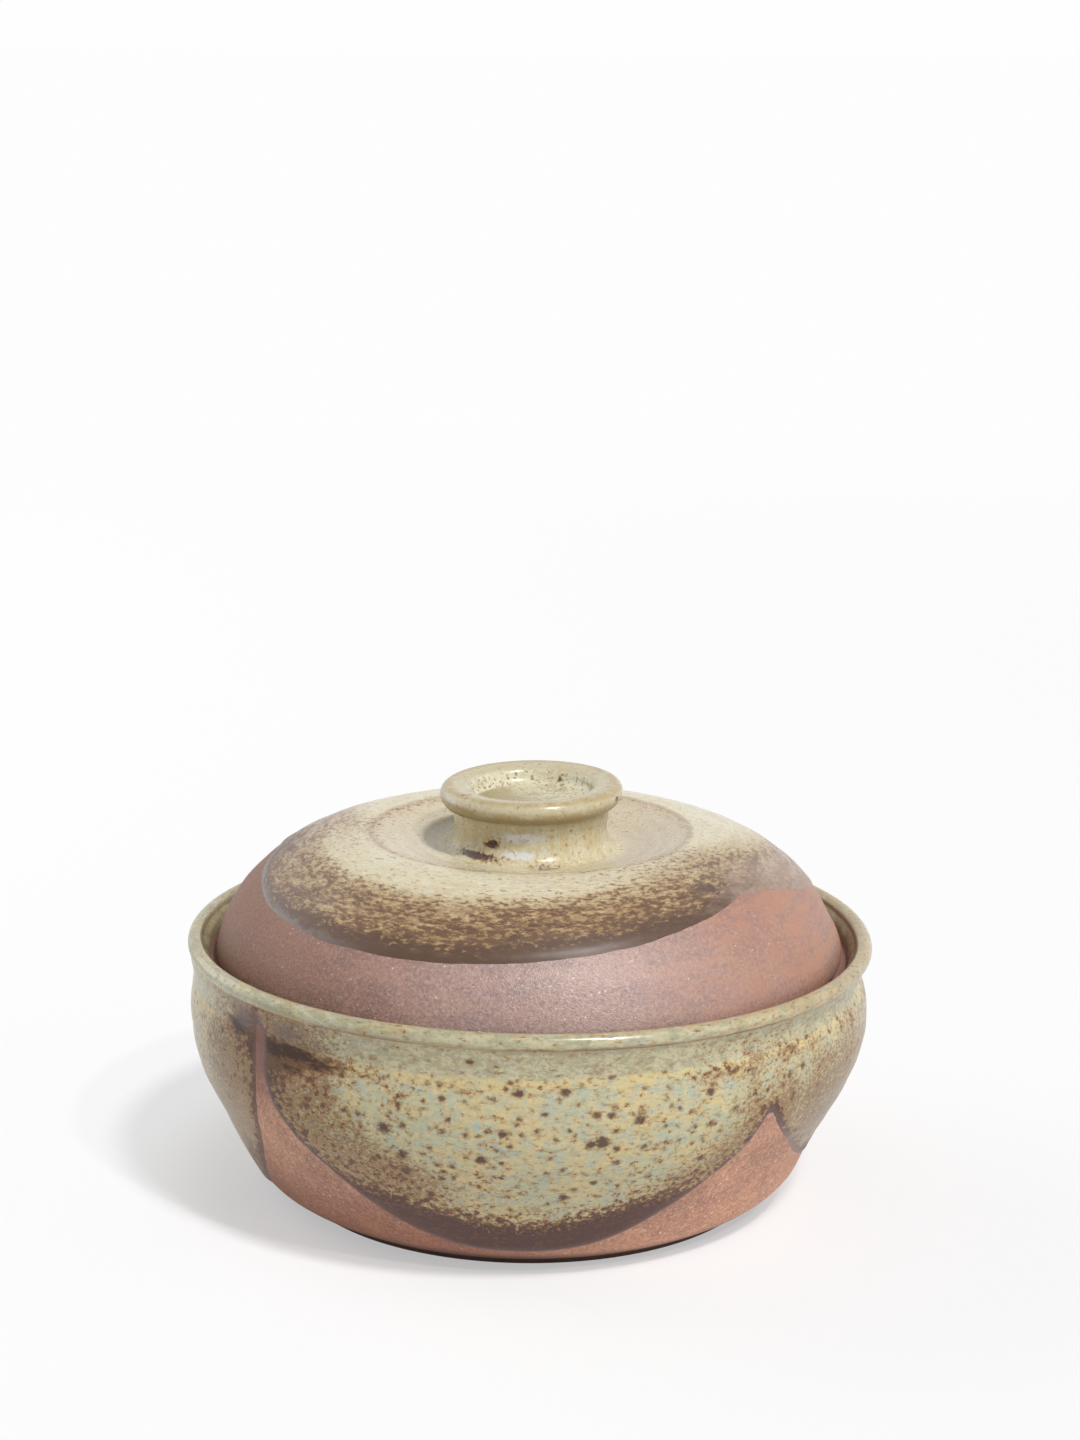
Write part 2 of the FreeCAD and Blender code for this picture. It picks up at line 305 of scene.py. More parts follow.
world = bpy.data.worlds.new("white_room")
bpy.context.scene.world = world
world.use_nodes = True
world.node_tree.nodes.clear()
wire = world.node_tree.links.new
path, level, backdrop, sky_out = (world.node_tree.nodes.new("ShaderNode" + kind) for kind in (
    "LightPath", "MapRange", "Background", "OutputWorld"))
seen_sky = path.outputs["Is Camera Ray"]
for ray in ("Is Glossy Ray", "Is Transmission Ray"):
    either = world.node_tree.nodes.new("ShaderNodeMath")
    either.operation = "MAXIMUM"
    wire(seen_sky, either.inputs[0])
    wire(path.outputs[ray], either.inputs[1])
    seen_sky = either.outputs[0]
wire(seen_sky, level.inputs["Value"])
level.inputs["To Min"].default_value = SKY_LEVEL
level.inputs["To Max"].default_value = SEEN_SKY_LEVEL
backdrop.inputs["Color"].default_value = (1.0, 1.0, 1.0, 1.0)
wire(level.outputs[0], backdrop.inputs["Strength"])
wire(backdrop.outputs[0], sky_out.inputs["Surface"])

bpy.context.scene.view_settings.view_transform = "Standard"
for lamp_way in (LOW_LAMP, HIGH_LAMP):
    print("A lamp stands", round(math.degrees(math.asin(lamp_way.z))), "degrees up")

# %% [markdown]
# ## Outlines
#
# Everything on this pot was turned, so each piece starts as half of its section: an outline of
# millimetres from the axis and millimetres above the table. An outline is a start and a list of moves.
# A move is a straight line to a point, or an arc of a given radius that turns left (+1) or right (-1). A
# step of its own may close a move, and a straight line then has two blanks where the arc would be.

# %% Outline helper
def outline(start, moves, step=1.2):
    """The points along an outline, about one step apart; a move may name a step of its own."""
    points = [start]
    for move in moves:
        r0, z0 = points[-1]
        r1, z1 = move[:2]
        radius, side, spacing = (*move[2:], None, None, None)[:3]
        spacing = spacing or step
        chord = math.hypot(r1 - r0, z1 - z0)
        if not radius:
            count = max(1, round(chord / spacing))
            points += [(r0 + (r1 - r0) * i / count, z0 + (z1 - z0) * i / count) for i in range(1, count + 1)]
            continue
        aside = math.sqrt(radius ** 2 - (chord / 2) ** 2) * side
        centre = ((r0 + r1) / 2 - (z1 - z0) / chord * aside, (z0 + z1) / 2 + (r1 - r0) / chord * aside)
        first = math.atan2(z0 - centre[1], r0 - centre[0])
        sweep = 2 * math.asin(chord / 2 / radius) * side
        count = max(2, round(abs(sweep) * radius / spacing))
        points += [(centre[0] + radius * math.cos(first + sweep * i / count),
                    centre[1] + radius * math.sin(first + sweep * i / count)) for i in range(1, count + 1)]
    return points


LEFT, RIGHT, STRAIGHT = 1, -1, (None, None)


def at_step(moves, step):
    """The same moves, all with one step."""
    return [(*move[:2], *(*move[2:], *STRAIGHT)[:2], step) for move in moves]


OUTER_START, WIPE_LINE = (72.8, 3.4), (73.7, 4.0)
OUTSIDE = [(80.0, 10.0, 24.0, LEFT), (93.0, 33.0), (98.2, 59.0, 40.0, LEFT), (98.75, 72.7, 24.0, RIGHT)]
LIP = [(99.5, 74.5, 2.6, LEFT, 0.4), (97.65, 76.7, 2.0, LEFT, 0.4), (95.8, 74.85, 1.85, LEFT, 0.4),
       (93.0, 70.8, *STRAIGHT, 0.8)]
LEDGE = [(91.8, 69.6, 1.2, RIGHT, 0.6), (86.0, 69.6), (84.5, 68.1, 1.5, LEFT, 0.8)]
INSIDE = [(84.5, 66.0), (92.3, 56.4, 13.0, RIGHT), (87.6, 36.0, 33.8, RIGHT), (75.9, 15.2),
          (63.7, 8.0, 14.0, RIGHT), (0.0, 8.0)]

print("The outside wall is", round(OUTSIDE[-1][0] - WIPE_LINE[0], 1), "mm wider at the lip than at the foot")

# %% [markdown]
# ## Throwing a piece
#
# An outline becomes a wire: one vertex, extruded from point to point. A Screw modifier with no climb then
# turns the wire once round the axis, as clay is on a wheel, and the seam and the poles are merged. Spin
# would do the same, but Screw is much quicker on a fine wall. Each wire vertex first gets its distance
# along the outline and the direction of the open air as attributes. The modifier copies them, so every
# vertex of the finished wall still knows where it lies on the outline.

# %% Wire and wheel
WALL_STEPS = 384
KNOB_STEPS = 192
SAME_PLACE = 1e-6
ON_AXIS = 1e-4


def only_select(piece):
    bpy.ops.object.select_all(action="DESELECT")
    piece.select_set(True)
    bpy.context.view_layer.objects.active = piece


def draw_wire(name, points):
    """One vertex, extruded through the points of an outline in the XZ plane."""
    bpy.ops.object.select_all(action="DESELECT")
    bpy.ops.mesh.primitive_plane_add(size=MM, location=(0, 0, 0))
    piece = bpy.context.object
    piece.name = piece.data.name = name
    bpy.ops.object.mode_set(mode="EDIT")
    bpy.ops.mesh.select_all(action="SELECT")
    bpy.ops.mesh.merge(type="CENTER")
    bpy.ops.transform.translate(value=(points[0][0] * MM, 0, points[0][1] * MM))
    for here, there in zip(points, points[1:]):
        step = ((there[0] - here[0]) * MM, 0, (there[1] - here[1]) * MM)
        bpy.ops.mesh.extrude_region_move(TRANSFORM_OT_translate={"value": step})
    bpy.ops.object.mode_set(mode="OBJECT")
    return piece


def note(piece, name, values):
    """Keep one number for each vertex under the given name."""
    layer = piece.data.attributes.get(name) or piece.data.attributes.new(name, "FLOAT", "POINT")
    layer.data.foreach_set("value", values)


def noted(piece, name):
    values = [0.0] * len(piece.data.vertices)
    piece.data.attributes[name].data.foreach_get("value", values)
    return values


def throw(name, start, moves, step=1.2, steps=WALL_STEPS):
    """A wall of revolution from an outline; the air is on the right of the way the outline runs."""
    points = outline(start, moves, step)
    piece = draw_wire(name, points)
    along = [0.0]
    for here, there in zip(points, points[1:]):
        along.append(along[-1] + math.dist(here, there))
    air_out, air_up = [], []
    for i in range(len(points)):
        before, after = points[max(i - 1, 0)], points[min(i + 1, len(points) - 1)]
        run = math.dist(before, after)
        air_out.append((after[1] - before[1]) / run)
        air_up.append((before[0] - after[0]) / run)
    note(piece, "along", along)
    note(piece, "air_out", air_out)
    note(piece, "air_up", air_up)
    only_select(piece)
    wheel = piece.modifiers.new("wheel", "SCREW")
    wheel.axis = "Z"
    wheel.steps = wheel.render_steps = steps
    wheel.use_merge_vertices = True
    wheel.merge_threshold = SAME_PLACE
    bpy.ops.object.modifier_apply(modifier=wheel.name)
    bpy.ops.object.mode_set(mode="EDIT")
    bpy.ops.mesh.select_all(action="SELECT")
    bpy.ops.mesh.remove_doubles(threshold=SAME_PLACE)
    bpy.ops.mesh.normals_make_consistent(inside=False)
    bpy.ops.object.mode_set(mode="OBJECT")
    return piece


def airward(piece):
    """The direction of the open air at each vertex."""
    directions = []
    for vertex, out, up in zip(piece.data.vertices, noted(piece, "air_out"), noted(piece, "air_up")):
        radius = math.hypot(vertex.co.x, vertex.co.y)
        if radius < ON_AXIS * MM:
            directions.append(Vector((0, 0, 1 if up > 0 else -1)))
        else:
            directions.append(Vector((vertex.co.x / radius * out, vertex.co.y / radius * out, up)))
    return directions


def face_the_air(piece):
    """Turn an open wall's faces to the air, if recalculating them left them the other way round."""
    air = airward(piece)
    agreement = sum(face.normal.dot(air[face.vertices[0]]) for face in piece.data.polygons)
    if agreement < 0:
        only_select(piece)
        bpy.ops.object.mode_set(mode="EDIT")
        bpy.ops.mesh.select_all(action="SELECT")
        bpy.ops.mesh.flip_normals()
        bpy.ops.object.mode_set(mode="OBJECT")


print("Round the lip, a step of the wheel is", round(math.tau * OUTSIDE[-1][0] / WALL_STEPS, 1), "mm long")

# %% [markdown]
# ## The potter's hand
#
# A thrown wall is never quite round or level. These two functions move a point of the bowl or of the lid
# by about two millimetres at most: the lip dips at the front right, the neck is drawn in at the right, the
# heel is fuller at the left, faint throwing rings run round the walls, and the knob was pressed on a little
# askew. Clay and glaze are moved by the same function, so the glaze stays on the clay. All lengths in them
# are millimetres. `step_up` says where a change begins and where it is complete.

# %% Unevenness
def step_up(value, low, high):
    share = min(1.0, max(0.0, (value - low) / (high - low)))
    return share * share * (3 - 2 * share)


def slow_noise(angle, height, turns, seed):
    """Smooth noise round the pot, from -1 to 1, without a seam."""
    return noise.noise(Vector((math.cos(angle) * turns, math.sin(angle) * turns, height + seed)))


def throwing_rings(angle, height, spacing, depth, seed):
    """Shallow rings that climb like a thread, now deeper and now shallower."""
    wander = 1.5 * slow_noise(angle, height / 9, 1.2, seed)
    wave = math.sin(math.tau * (height / spacing + angle / math.tau) + wander)
    return depth * wave * (0.55 + 0.45 * slow_noise(angle, height / 14, 1.6, seed + 7))


LIP_DIP = 1.1
NECK_IN = 2.0
BELLY_IN_LEFT, BELLY_IN_RIGHT = 0.45, 1.2
HEEL_OUT_LEFT, HEEL_OUT = 1.0, 0.3
FLOOR_RADIUS = 66


def bowl_by_hand(point):
    x, y, z = (value / MM for value in point)
    radius, angle = math.hypot(x, y), math.atan2(y, x)
    if radius < ON_AXIS:
        return point
    front_right = max(0.0, math.cos(angle + 0.55)) ** 2
    to_right, to_left = max(0.0, math.cos(angle)) ** 2, max(0.0, -math.cos(angle)) ** 2
    outside = outer_wall(radius, z)
    lip = step_up(radius, 94.8, 97.2)
    top = step_up(z, 62, 75)
    lower = LIP_DIP * front_right * top + 0.25 * top * (0.5 + 0.5 * slow_noise(angle, 0, 1.3, 3))
    inward = NECK_IN * to_right * lip * step_up(z, 60, 67) * (1 - step_up(z, 71, 74))
    inward += 0.6 * to_left * lip * step_up(z, 70, 74)
    inward -= 0.20 * math.exp(-((z - 62.0) / 1.1) ** 2) * lip
    belly = step_up(z, 14, 26) * (1 - step_up(z, 50, 58)) * outside
    inward += belly * (0.10 + BELLY_IN_LEFT * to_left + throwing_rings(angle, z, 7.5, 0.13, 1))
    inward += BELLY_IN_RIGHT * to_right * step_up(z, 10, 20) * (1 - step_up(z, 36, 52)) * outside
    heel = step_up(z, 2.5, 7) * (1 - step_up(z, 20, 34)) * outside
    heel_out = HEEL_OUT_LEFT * to_left + HEEL_OUT * (1 - to_left)
    inward -= heel * (heel_out - 0.4 * to_right * step_up(z, 14, 24))
    inside = step_up(z, 8.6, 14) * (1 - step_up(z, 58, 64)) * (1 - outside)
    inward += inside * throwing_rings(angle, z, 8.5, 0.3, 5)
    scale = (radius - inward) / radius
    floor_ring = 0.0
    if 7.4 < z < 8.6 and radius < FLOOR_RADIUS:
        floor_ring = step_up(FLOOR_RADIUS - radius, 0, 8) * throwing_rings(angle, radius, 9.0, 0.35, 9)
        floor_ring += 0.5 * math.exp(-(radius / 5) ** 2)
    return Vector((x * scale, y * scale, z - lower + floor_ring)) * MM


def outer_wall(radius, z):
    """1 on the outside wall and 0 on the inside wall; the wall is about six millimetres thick."""
    middle = 70.0 + (z - 4) * 0.62 if z < 33 else 88.5 + (z - 33) * 0.23
    return step_up(radius, middle, middle + 2)


KNOB_TIP_RIGHT, KNOB_TIP_BACK = math.radians(1.2), math.radians(0.9)
KNOB_LOWER, KNOB_ASIDE = 0.62, 0.3
LID_ASIDE = 0.45


def lid_by_hand(point):
    x, y, z = (value / MM for value in point)
    radius, angle = math.hypot(x, y), math.atan2(y, x)
    if radius > ON_AXIS:
        dome = step_up(radius, 50, 58) * (1 - step_up(radius, 84, 90)) * step_up(z, 74, 78)
        z += dome * (throwing_rings(angle, radius, 6.5, 0.13, 11) - 0.1)
        dish = step_up(radius, 27, 31) * (1 - step_up(radius, 42, 46)) * step_up(z, 99, 100.5)
        z += dish * throwing_rings(angle, radius, 5.0, 0.16, 15)
        tuck = 1 - 0.6 * step_up(radius, 84, 90) / radius
        x, y = x * tuck, y * tuck
        x -= LID_ASIDE * step_up(z, 75, 82) * step_up(radius, 40, 50)
    lift = step_up(z, 103, 113)
    x += KNOB_ASIDE * lift
    tip = lift * (x * KNOB_TIP_RIGHT + y * KNOB_TIP_BACK - KNOB_LOWER)
    return Vector((x, y, z + tip)) * MM


def shape_by_hand(piece, hand):
    for vertex in piece.data.vertices:
        vertex.co = hand(vertex.co)
    piece.data.update()


print("The lip dips by", LIP_DIP, "mm, and the neck is drawn in by", NECK_IN, "mm")

# %% [markdown]
# ## The clay
#
# Three pieces are clay: the bowl, the lid and the knob. Their outlines close on the axis, so each turn
# gives a closed solid. Most of it lies under glaze, but the bare clay shows at the foot, in the gaps
# between the dips and in the wide band round the lid, so it is as fine as the glaze.

# %% Clay of the bowl, the lid and the knob
bowl_clay = throw("bowl_clay", (0.0, 3.0), [
    (58.0, 3.0, *STRAIGHT, 6.0), (61.0, 0.0, *STRAIGHT, 1.5), (68.2, 0.0, *STRAIGHT, 2.4),
    (68.7, 1.5, *STRAIGHT, 0.5), (*WIPE_LINE, 24.0, LEFT, 0.9), *OUTSIDE, *LIP, *LEDGE,
    *at_step(INSIDE, 2.0)])

LID_EDGE = [(85.7, 71.4), (87.3, 69.8, 1.6, LEFT, 0.6), (90.2, 69.8), (91.8, 71.4, 1.6, LEFT, 0.6),
            (91.8, 72.0)]
UNDERSIDE = [(60.1, 96.0, *STRAIGHT, 3.0), (67.6, 94.0, 15.0, RIGHT, 1.5), (85.7, 72.0, 40.4, RIGHT, 1.5)]
DOME = [(91.2, 75.1, 9.6, LEFT, 0.9), (47.4, 105.7, 46.7, LEFT), (46.0, 105.5, 5.0, LEFT, 0.5),
        (31.3, 101.3, *STRAIGHT, 1.3), (27.5, 100.8, 14.0, RIGHT, 1.3)]
LID_CENTRE = (0.0, 96.0)
lid_clay = throw("lid_clay", LID_CENTRE, [*UNDERSIDE, *LID_EDGE, *DOME, (0.0, 100.8, *STRAIGHT, 6.0)])

KNOB_FOOT = (25.0, 100.8, *STRAIGHT)
KNOB_SIDE = [(24.6, 101.3), (22.2, 104.2, 5.0, RIGHT), (21.6, 108.2, 14.0, RIGHT), (21.9, 112.9, 16.0, LEFT),
             (23.3, 115.0, 2.6, RIGHT, 0.6), (25.4, 116.2, 2.2, LEFT, 0.5), (26.0, 118.2, 3.4, LEFT, 0.5),
             (24.3, 120.4, 2.6, LEFT, 0.5), (20.2, 119.9, 16.0, LEFT, 0.6), (18.1, 118.2, 2.0, LEFT, 0.5),
             (14.6, 115.3, 3.4, RIGHT, 0.6), (0.0, 115.3, *STRAIGHT, 1.6)]
knob_clay = throw("knob_clay", (0.0, 100.8), [(*KNOB_FOOT, 5.0), *KNOB_SIDE], steps=KNOB_STEPS)

for piece in (bowl_clay, lid_clay, knob_clay):
    print(piece.name, "has", len(piece.data.polygons), "faces")

# %% [markdown]
# ## The dips
#
# The bowl was dipped in glaze four times on its side, at another tilt each time, and the lid twice from
# the top. The surface of the glaze bath is a plane, so each dip ends where one plane cuts the wall. A
# plane is written as the heading in degrees that the pot was dipped towards, a tilt and a distance. The
# real line wavers by half a millimetre, and noise gives it that.

# %% Distance to the edge of the glaze
STEEPEST = 0.04
BOWL_DIPS = {"front": (-91.2, 10.4, 78.4), "left": (173.7, 1.6, 68.9), "right": (-1.8, 21.0, 81.1),
             "back": (92.0, 9.5, 78.0)}
LID_DIPS = {"front": (-116.1, 83.0, 99.3), "back": (72.9, 76.9, 92.3)}


def bath(heading, tilt, distance):
    """The plane of a dip: the direction it faces, and how far from the frame's origin it lies, in mm."""
    heading, tilt = math.radians(heading), math.radians(tilt)
    facing = Vector((math.cos(heading) * math.cos(tilt), math.sin(heading) * math.cos(tilt), math.sin(tilt)))
    return facing, distance


def dip_distances(piece, dips, creep=None):
    """For each vertex, how far it lies inside the edge of each dip, in millimetres along the wall."""
    baths = [bath(*dip) for dip in dips.values()]
    found = []
    for vertex, air in zip(piece.data.vertices, airward(piece)):
        place = vertex.co / MM
        row = []
        for number, (facing, distance) in enumerate(baths):
            slope = math.sqrt(max(STEEPEST, 1 - facing.dot(air) ** 2))
            waver = 0.45 * noise.noise(place / 13 + Vector((0, 0, number * 31.0)))
            waver += 0.16 * noise.noise(place / 3.5 + Vector((0, 0, number * 17.0)))
            row.append((facing.dot(place) - distance) / slope + waver)
        if creep:
            row[0] += creep(place)
        found.append(row)
    return found


def front_creep(place):
    """How far the front dip's glaze crept over the bare strip at its left, in millimetres."""
    if place.x > 0:
        return 0.0
    return step_up(place.z, 38, 48) + 0.3 * math.exp(-((place.z - 50) / 8) ** 2)


CORNER_ROUND = 4.0


def covered(row):
    """How far a place lies inside the glaze; the melt rounds the corner where two dips meet."""
    second, first = sorted(row)[-2:]
    near = max(0.0, CORNER_ROUND - (first - second)) / CORNER_ROUND
    return first + near * near * CORNER_ROUND / 4


def thickness(row):
    """Like covered, but where two dips lie over each other the glaze is thicker, so both count."""
    return covered(row) + max(0.0, sorted(row)[-2])


print("The bowl has", len(BOWL_DIPS), "dips, and the lid has", len(LID_DIPS))

# %% [markdown]
# ## Laying the glaze
#
# Each coat starts as a copy of the stretch of wall that it covers. Its points are pushed out by the
# thickness of the glaze, and near an edge they sink below the clay, so that the line where the two cross
# is the edge that is seen. What no dip reached is deleted, and Solidify closes the skin on the inside.

# %% Coats
GLAZE = 0.5
EDGE_ROLL = 2.4
BURIED = -0.3
BURIED_FROM, BARE_FROM = -1.0, -1.6
SKIN = 0.65
FAR_FROM_EDGE = 99.0


def coat_depth(inside_edge):
    """Thickness of glaze at a distance inside its edge: it rolls down to nothing, then under the clay."""
    if inside_edge >= EDGE_ROLL:
        return GLAZE
    if inside_edge <= BURIED_FROM:
        return BURIED
    if inside_edge <= 0.0:
        return -BURIED * inside_edge
    share = inside_edge / EDGE_ROLL
    return GLAZE * (1.6 * share - 0.6 * share * share)


def lay_glaze(piece, inside_edge):
    """Push the coat out of the clay and clear away what was left bare."""
    air = airward(piece)
    for vertex, direction, inside in zip(piece.data.vertices, air, inside_edge):
        vertex.co += direction * coat_depth(inside) * MM
    bare = [inside < BARE_FROM for inside in inside_edge]
    only_select(piece)
    face_the_air(piece)
    bpy.ops.object.mode_set(mode="EDIT")
    bpy.ops.mesh.select_all(action="DESELECT")
    bpy.ops.object.mode_set(mode="OBJECT")
    for face in piece.data.polygons:
        face.select = all(bare[corner] for corner in face.vertices)
    bpy.ops.object.mode_set(mode="EDIT")
    bpy.ops.mesh.select_mode(type="FACE")
    bpy.ops.mesh.delete(type="FACE")
    bpy.ops.mesh.select_mode(type="VERT")
    bpy.ops.object.mode_set(mode="OBJECT")


def close_skin(piece):
    skin = piece.modifiers.new("inner_side", "SOLIDIFY")
    skin.thickness = SKIN * MM
    skin.offset = -1.0
    only_select(piece)
    bpy.ops.object.modifier_apply(modifier=skin.name)


def end_distance(piece, open_start, open_end):
    """Distance from the ends of a coat's outline, where the end is an edge that is seen."""
    along = noted(piece, "along")
    start, end = -BURIED_FROM, max(along) + BURIED_FROM
    return [min(place - start if open_start else FAR_FROM_EDGE, end - place if open_end else FAR_FROM_EDGE)
            for place in along]


def smaller(first, second):
    """The smaller of two distances at each vertex."""
    return [min(a, b) for a, b in zip(first, second)]


print("The glaze is", GLAZE, "mm thick and thins out over the last", EDGE_ROLL, "mm")

# %% [markdown]
# ## What the glaze shows
#
# Three numbers on a vertex tell the finishes what to do. `dip_mm` is how far inside the edge of its
# dip a place lies, because the glaze is thin and dark there. `lap_mm` is how far it lies from the edge of
# another dip that crosses it. `rust` is how much extra iron came through. Beside the bare strip there are
# two marks more: `soot`, a few black-brown smears, and `haze`, a smoky veil just under the lip. A patch is
# written as a heading in degrees, a height, half a width, half a height and a strength.

# %% Patches of iron
PATCH_WHEEL = 98.0
PATCH_FADED = 2.2
BOWL_PATCHES = [
    (-129.5, 60.5, 10.0, 3.6, 0.85), (-134.5, 57.0, 6.0, 6.0, 0.70), (-143.0, 61.0, 6.0, 6.0, 0.55),
    (-121.0, 62.4, 6.5, 3.0, 0.62), (-115.5, 62.6, 6.0, 2.6, 0.50), (-111.0, 58.0, 4.0, 5.0, 0.45),
    (-124.0, 54.0, 6.0, 3.0, 0.45), (-118.0, 47.0, 5.0, 5.0, 0.30), (-99.5, 60.6, 6.0, 0.9, 0.45),
    (-88.0, 60.0, 6.5, 0.9, 0.45), (-59.0, 61.2, 8.0, 2.4, 0.60), (-42.6, 62.2, 3.4, 2.2, 0.60),
    (-37.0, 62.4, 4.2, 2.4, 0.55), (-34.5, 54.0, 4.5, 4.5, 0.40), (-72.0, 44.0, 9.0, 1.4, 0.25),
    (-97.0, 36.5, 9.0, 1.3, 0.28), (-112.0, 36.0, 9.0, 6.0, 0.28), (38.0, 60.0, 12.0, 5.0, 0.5),
    (118.0, 58.0, 14.0, 4.0, 0.5), (80.0, 46.0, 9.0, 3.0, 0.35), (150.0, 63.0, 8.0, 5.0, 0.6),
    (176.0, 52.0, 9.0, 6.0, 0.4), (12.0, 50.0, 9.0, 7.0, 0.30), (-22.0, 61.0, 7.0, 4.0, 0.45),
    (-24.0, 50.0, 7.0, 6.0, 0.36), (-6.0, 62.0, 8.0, 6.0, 0.36),
]
BOWL_SOOT = [(-130.0, 63.0, 8.0, 2.4, 1.0), (-125.0, 61.8, 6.0, 2.2, 0.8), (-135.0, 62.6, 7.0, 3.4, 1.0),
             (-131.0, 58.6, 8.0, 2.4, 0.60), (-144.5, 65.0, 6.0, 3.4, 0.85), (148.0, 62.0, 7.0, 2.0, 0.7)]
BOWL_HAZE = [(-141.5, 68.4, 8.0, 4.4, 1.0), (-131.5, 68.4, 7.0, 2.8, 0.9), (-125.0, 66.6, 4.5, 2.2, 0.6),
             (150.0, 68.0, 10.0, 3.0, 0.8)]


def patch_levels(piece, patches, radius, reach=200.0):
    """How strong the patches are at each vertex, 0 to 1, and 0 beyond the reach from the axis. The radius
    turns a patch's heading into millimetres round the wall."""
    levels = []
    for vertex in piece.data.vertices:
        x, y, z = vertex.co / MM
        if math.hypot(x, y) > reach:
            levels.append(0.0)
            continue
        heading = math.degrees(math.atan2(y, x))
        level = 0.0
        for centre, height, wide, high, strength in patches:
            across = math.radians((heading - centre + 180) % 360 - 180) * radius / wide
            up = (z - height) / high
            if max(abs(across), abs(up)) < PATCH_FADED:
                level = max(level, strength * math.exp(-across ** 2 - up ** 2))
        levels.append(level)
    return levels


def lap_distances(reach):
    """How far each vertex lies from the edge of a dip that crosses another coat, in millimetres."""
    laps = []
    for row in reach:
        crossed = [abs(value) for value in row if max(other for other in row if other is not value) > 0]
        laps.append(min(crossed + [FAR_FROM_EDGE]))
    return laps


print("Patches on the bowl:", len(BOWL_PATCHES), "rust,", len(BOWL_SOOT), "soot,", len(BOWL_HAZE), "haze")

# %% Glaze on the bowl
bowl_outside = throw("bowl_outside_coat", OUTER_START, [WIPE_LINE, *OUTSIDE, LIP[0]])
reach = dip_distances(bowl_outside, BOWL_DIPS, front_creep)
inside_dip = [covered(row) for row in reach]
note(bowl_outside, "dip_mm", [thickness(row) for row in reach])
note(bowl_outside, "lap_mm", lap_distances(reach))
for kind, patches in (("rust", BOWL_PATCHES), ("soot", BOWL_SOOT), ("haze", BOWL_HAZE)):
    note(bowl_outside, kind, patch_levels(bowl_outside, patches, PATCH_WHEEL))
lay_glaze(bowl_outside, smaller(inside_dip, end_distance(bowl_outside, True, True)))

RIM_START, RIM_END = (98.25, 71.5), (92.6, 70.1, 1.2, RIGHT, 0.4)
bowl_rim = throw("bowl_rim_coat", RIM_START, [OUTSIDE[-1][:2], *LIP, RIM_END], step=0.5)
note(bowl_rim, "rust", patch_levels(bowl_rim, BOWL_PATCHES, PATCH_WHEEL))
lay_glaze(bowl_rim, end_distance(bowl_rim, True, True))

UNDER_LEDGE = (84.9, 68.9)
bowl_inside = throw("bowl_inside_coat", UNDER_LEDGE, [(84.5, 68.1, 1.5, LEFT, 0.6), *INSIDE], step=1.6)
inside_end = end_distance(bowl_inside, True, False)
note(bowl_inside, "dip_mm", inside_end)
lay_glaze(bowl_inside, inside_end)
print("The outside coat reaches up to", round(max(inside_dip)), "mm inside the edge of a dip")

# %% Glaze on the lid
DISH_EDGE, DISH_EDGE_DEPTH, DISH_DEEPENS = 48.0, 30.0, 4


def deep_in_dish(vertex):
    """The dish filled up when the lid was dipped, so its glaze is thick however low it lies."""
    return DISH_EDGE_DEPTH + (DISH_EDGE - math.hypot(vertex.co.x, vertex.co.y) / MM) * DISH_DEEPENS


lid_outside = throw("lid_outside_coat", LID_EDGE[-1], [*DOME, (*KNOB_FOOT, 0.9), *KNOB_SIDE], step=1.25)
reach = dip_distances(lid_outside, LID_DIPS)
inside_dip = [covered(row) for row in reach]
note(lid_outside, "dip_mm", [max(inside, deep_in_dish(vertex))
                             for inside, vertex in zip(inside_dip, lid_outside.data.vertices)])
note(lid_outside, "lap_mm", lap_distances(reach))
lay_glaze(lid_outside, inside_dip)

inner_wall = [(60.1, 96.0, *STRAIGHT, 2.0), *UNDERSIDE[1:], LID_EDGE[0]]
lid_inside = throw("lid_inside_coat", LID_CENTRE, inner_wall, step=1.5)
inside_end = end_distance(lid_inside, False, True)
note(lid_inside, "dip_mm", inside_end)
lay_glaze(lid_inside, inside_end)
print("The inside coat of the lid runs for", round(max(inside_end)), "mm from its edge")

# %% Skins closed, and the hand's unevenness
bowl_pieces = [bowl_clay, bowl_outside, bowl_rim, bowl_inside]
lid_pieces = [lid_clay, knob_clay, lid_outside, lid_inside]
for piece in (bowl_outside, bowl_rim, bowl_inside, lid_outside, lid_inside):
    close_skin(piece)
for piece in bowl_pieces:
    shape_by_hand(piece, bowl_by_hand)
for piece in lid_pieces:
    shape_by_hand(piece, lid_by_hand)
for piece in bowl_pieces + lid_pieces:
    only_select(piece)
    bpy.ops.object.shade_smooth()
    piece.data.calc_loop_triangles()
    print(piece.name, "has", len(piece.data.loop_triangles), "triangles")

# %% [markdown]
# ## Where a pattern sits
#
# Glaze streaks run round the pot, because it was on the wheel or turned in the hand. So most patterns are
# laid out by heading and by distance along the outline, which the wheel has left on every vertex. The
# heading is used as a point on a circle, and not as an angle, so the pattern has no seam at the back.

# %% Wheel coordinates
def round_the_pot(finish, radius, squeeze=1.0):
    """Places for a pattern: round a circle of this radius in mm, and along the outline.
    A squeeze under 1 draws the pattern out round the pot."""
    flat = finish.vector("MULTIPLY", finish.place(), (1, 1, 0))
    ring = finish.node("ShaderNodeVectorMath", {"operation": "SCALE"},
                       {0: finish.vector("NORMALIZE", flat), 3: radius * MM * squeeze})
    climb = finish.node("ShaderNodeCombineXYZ", None, {"Z": finish.attribute("along") * MM})
    return finish.vector("ADD", ring, climb)


print("The heading becomes a place on a circle, which closes without a seam")

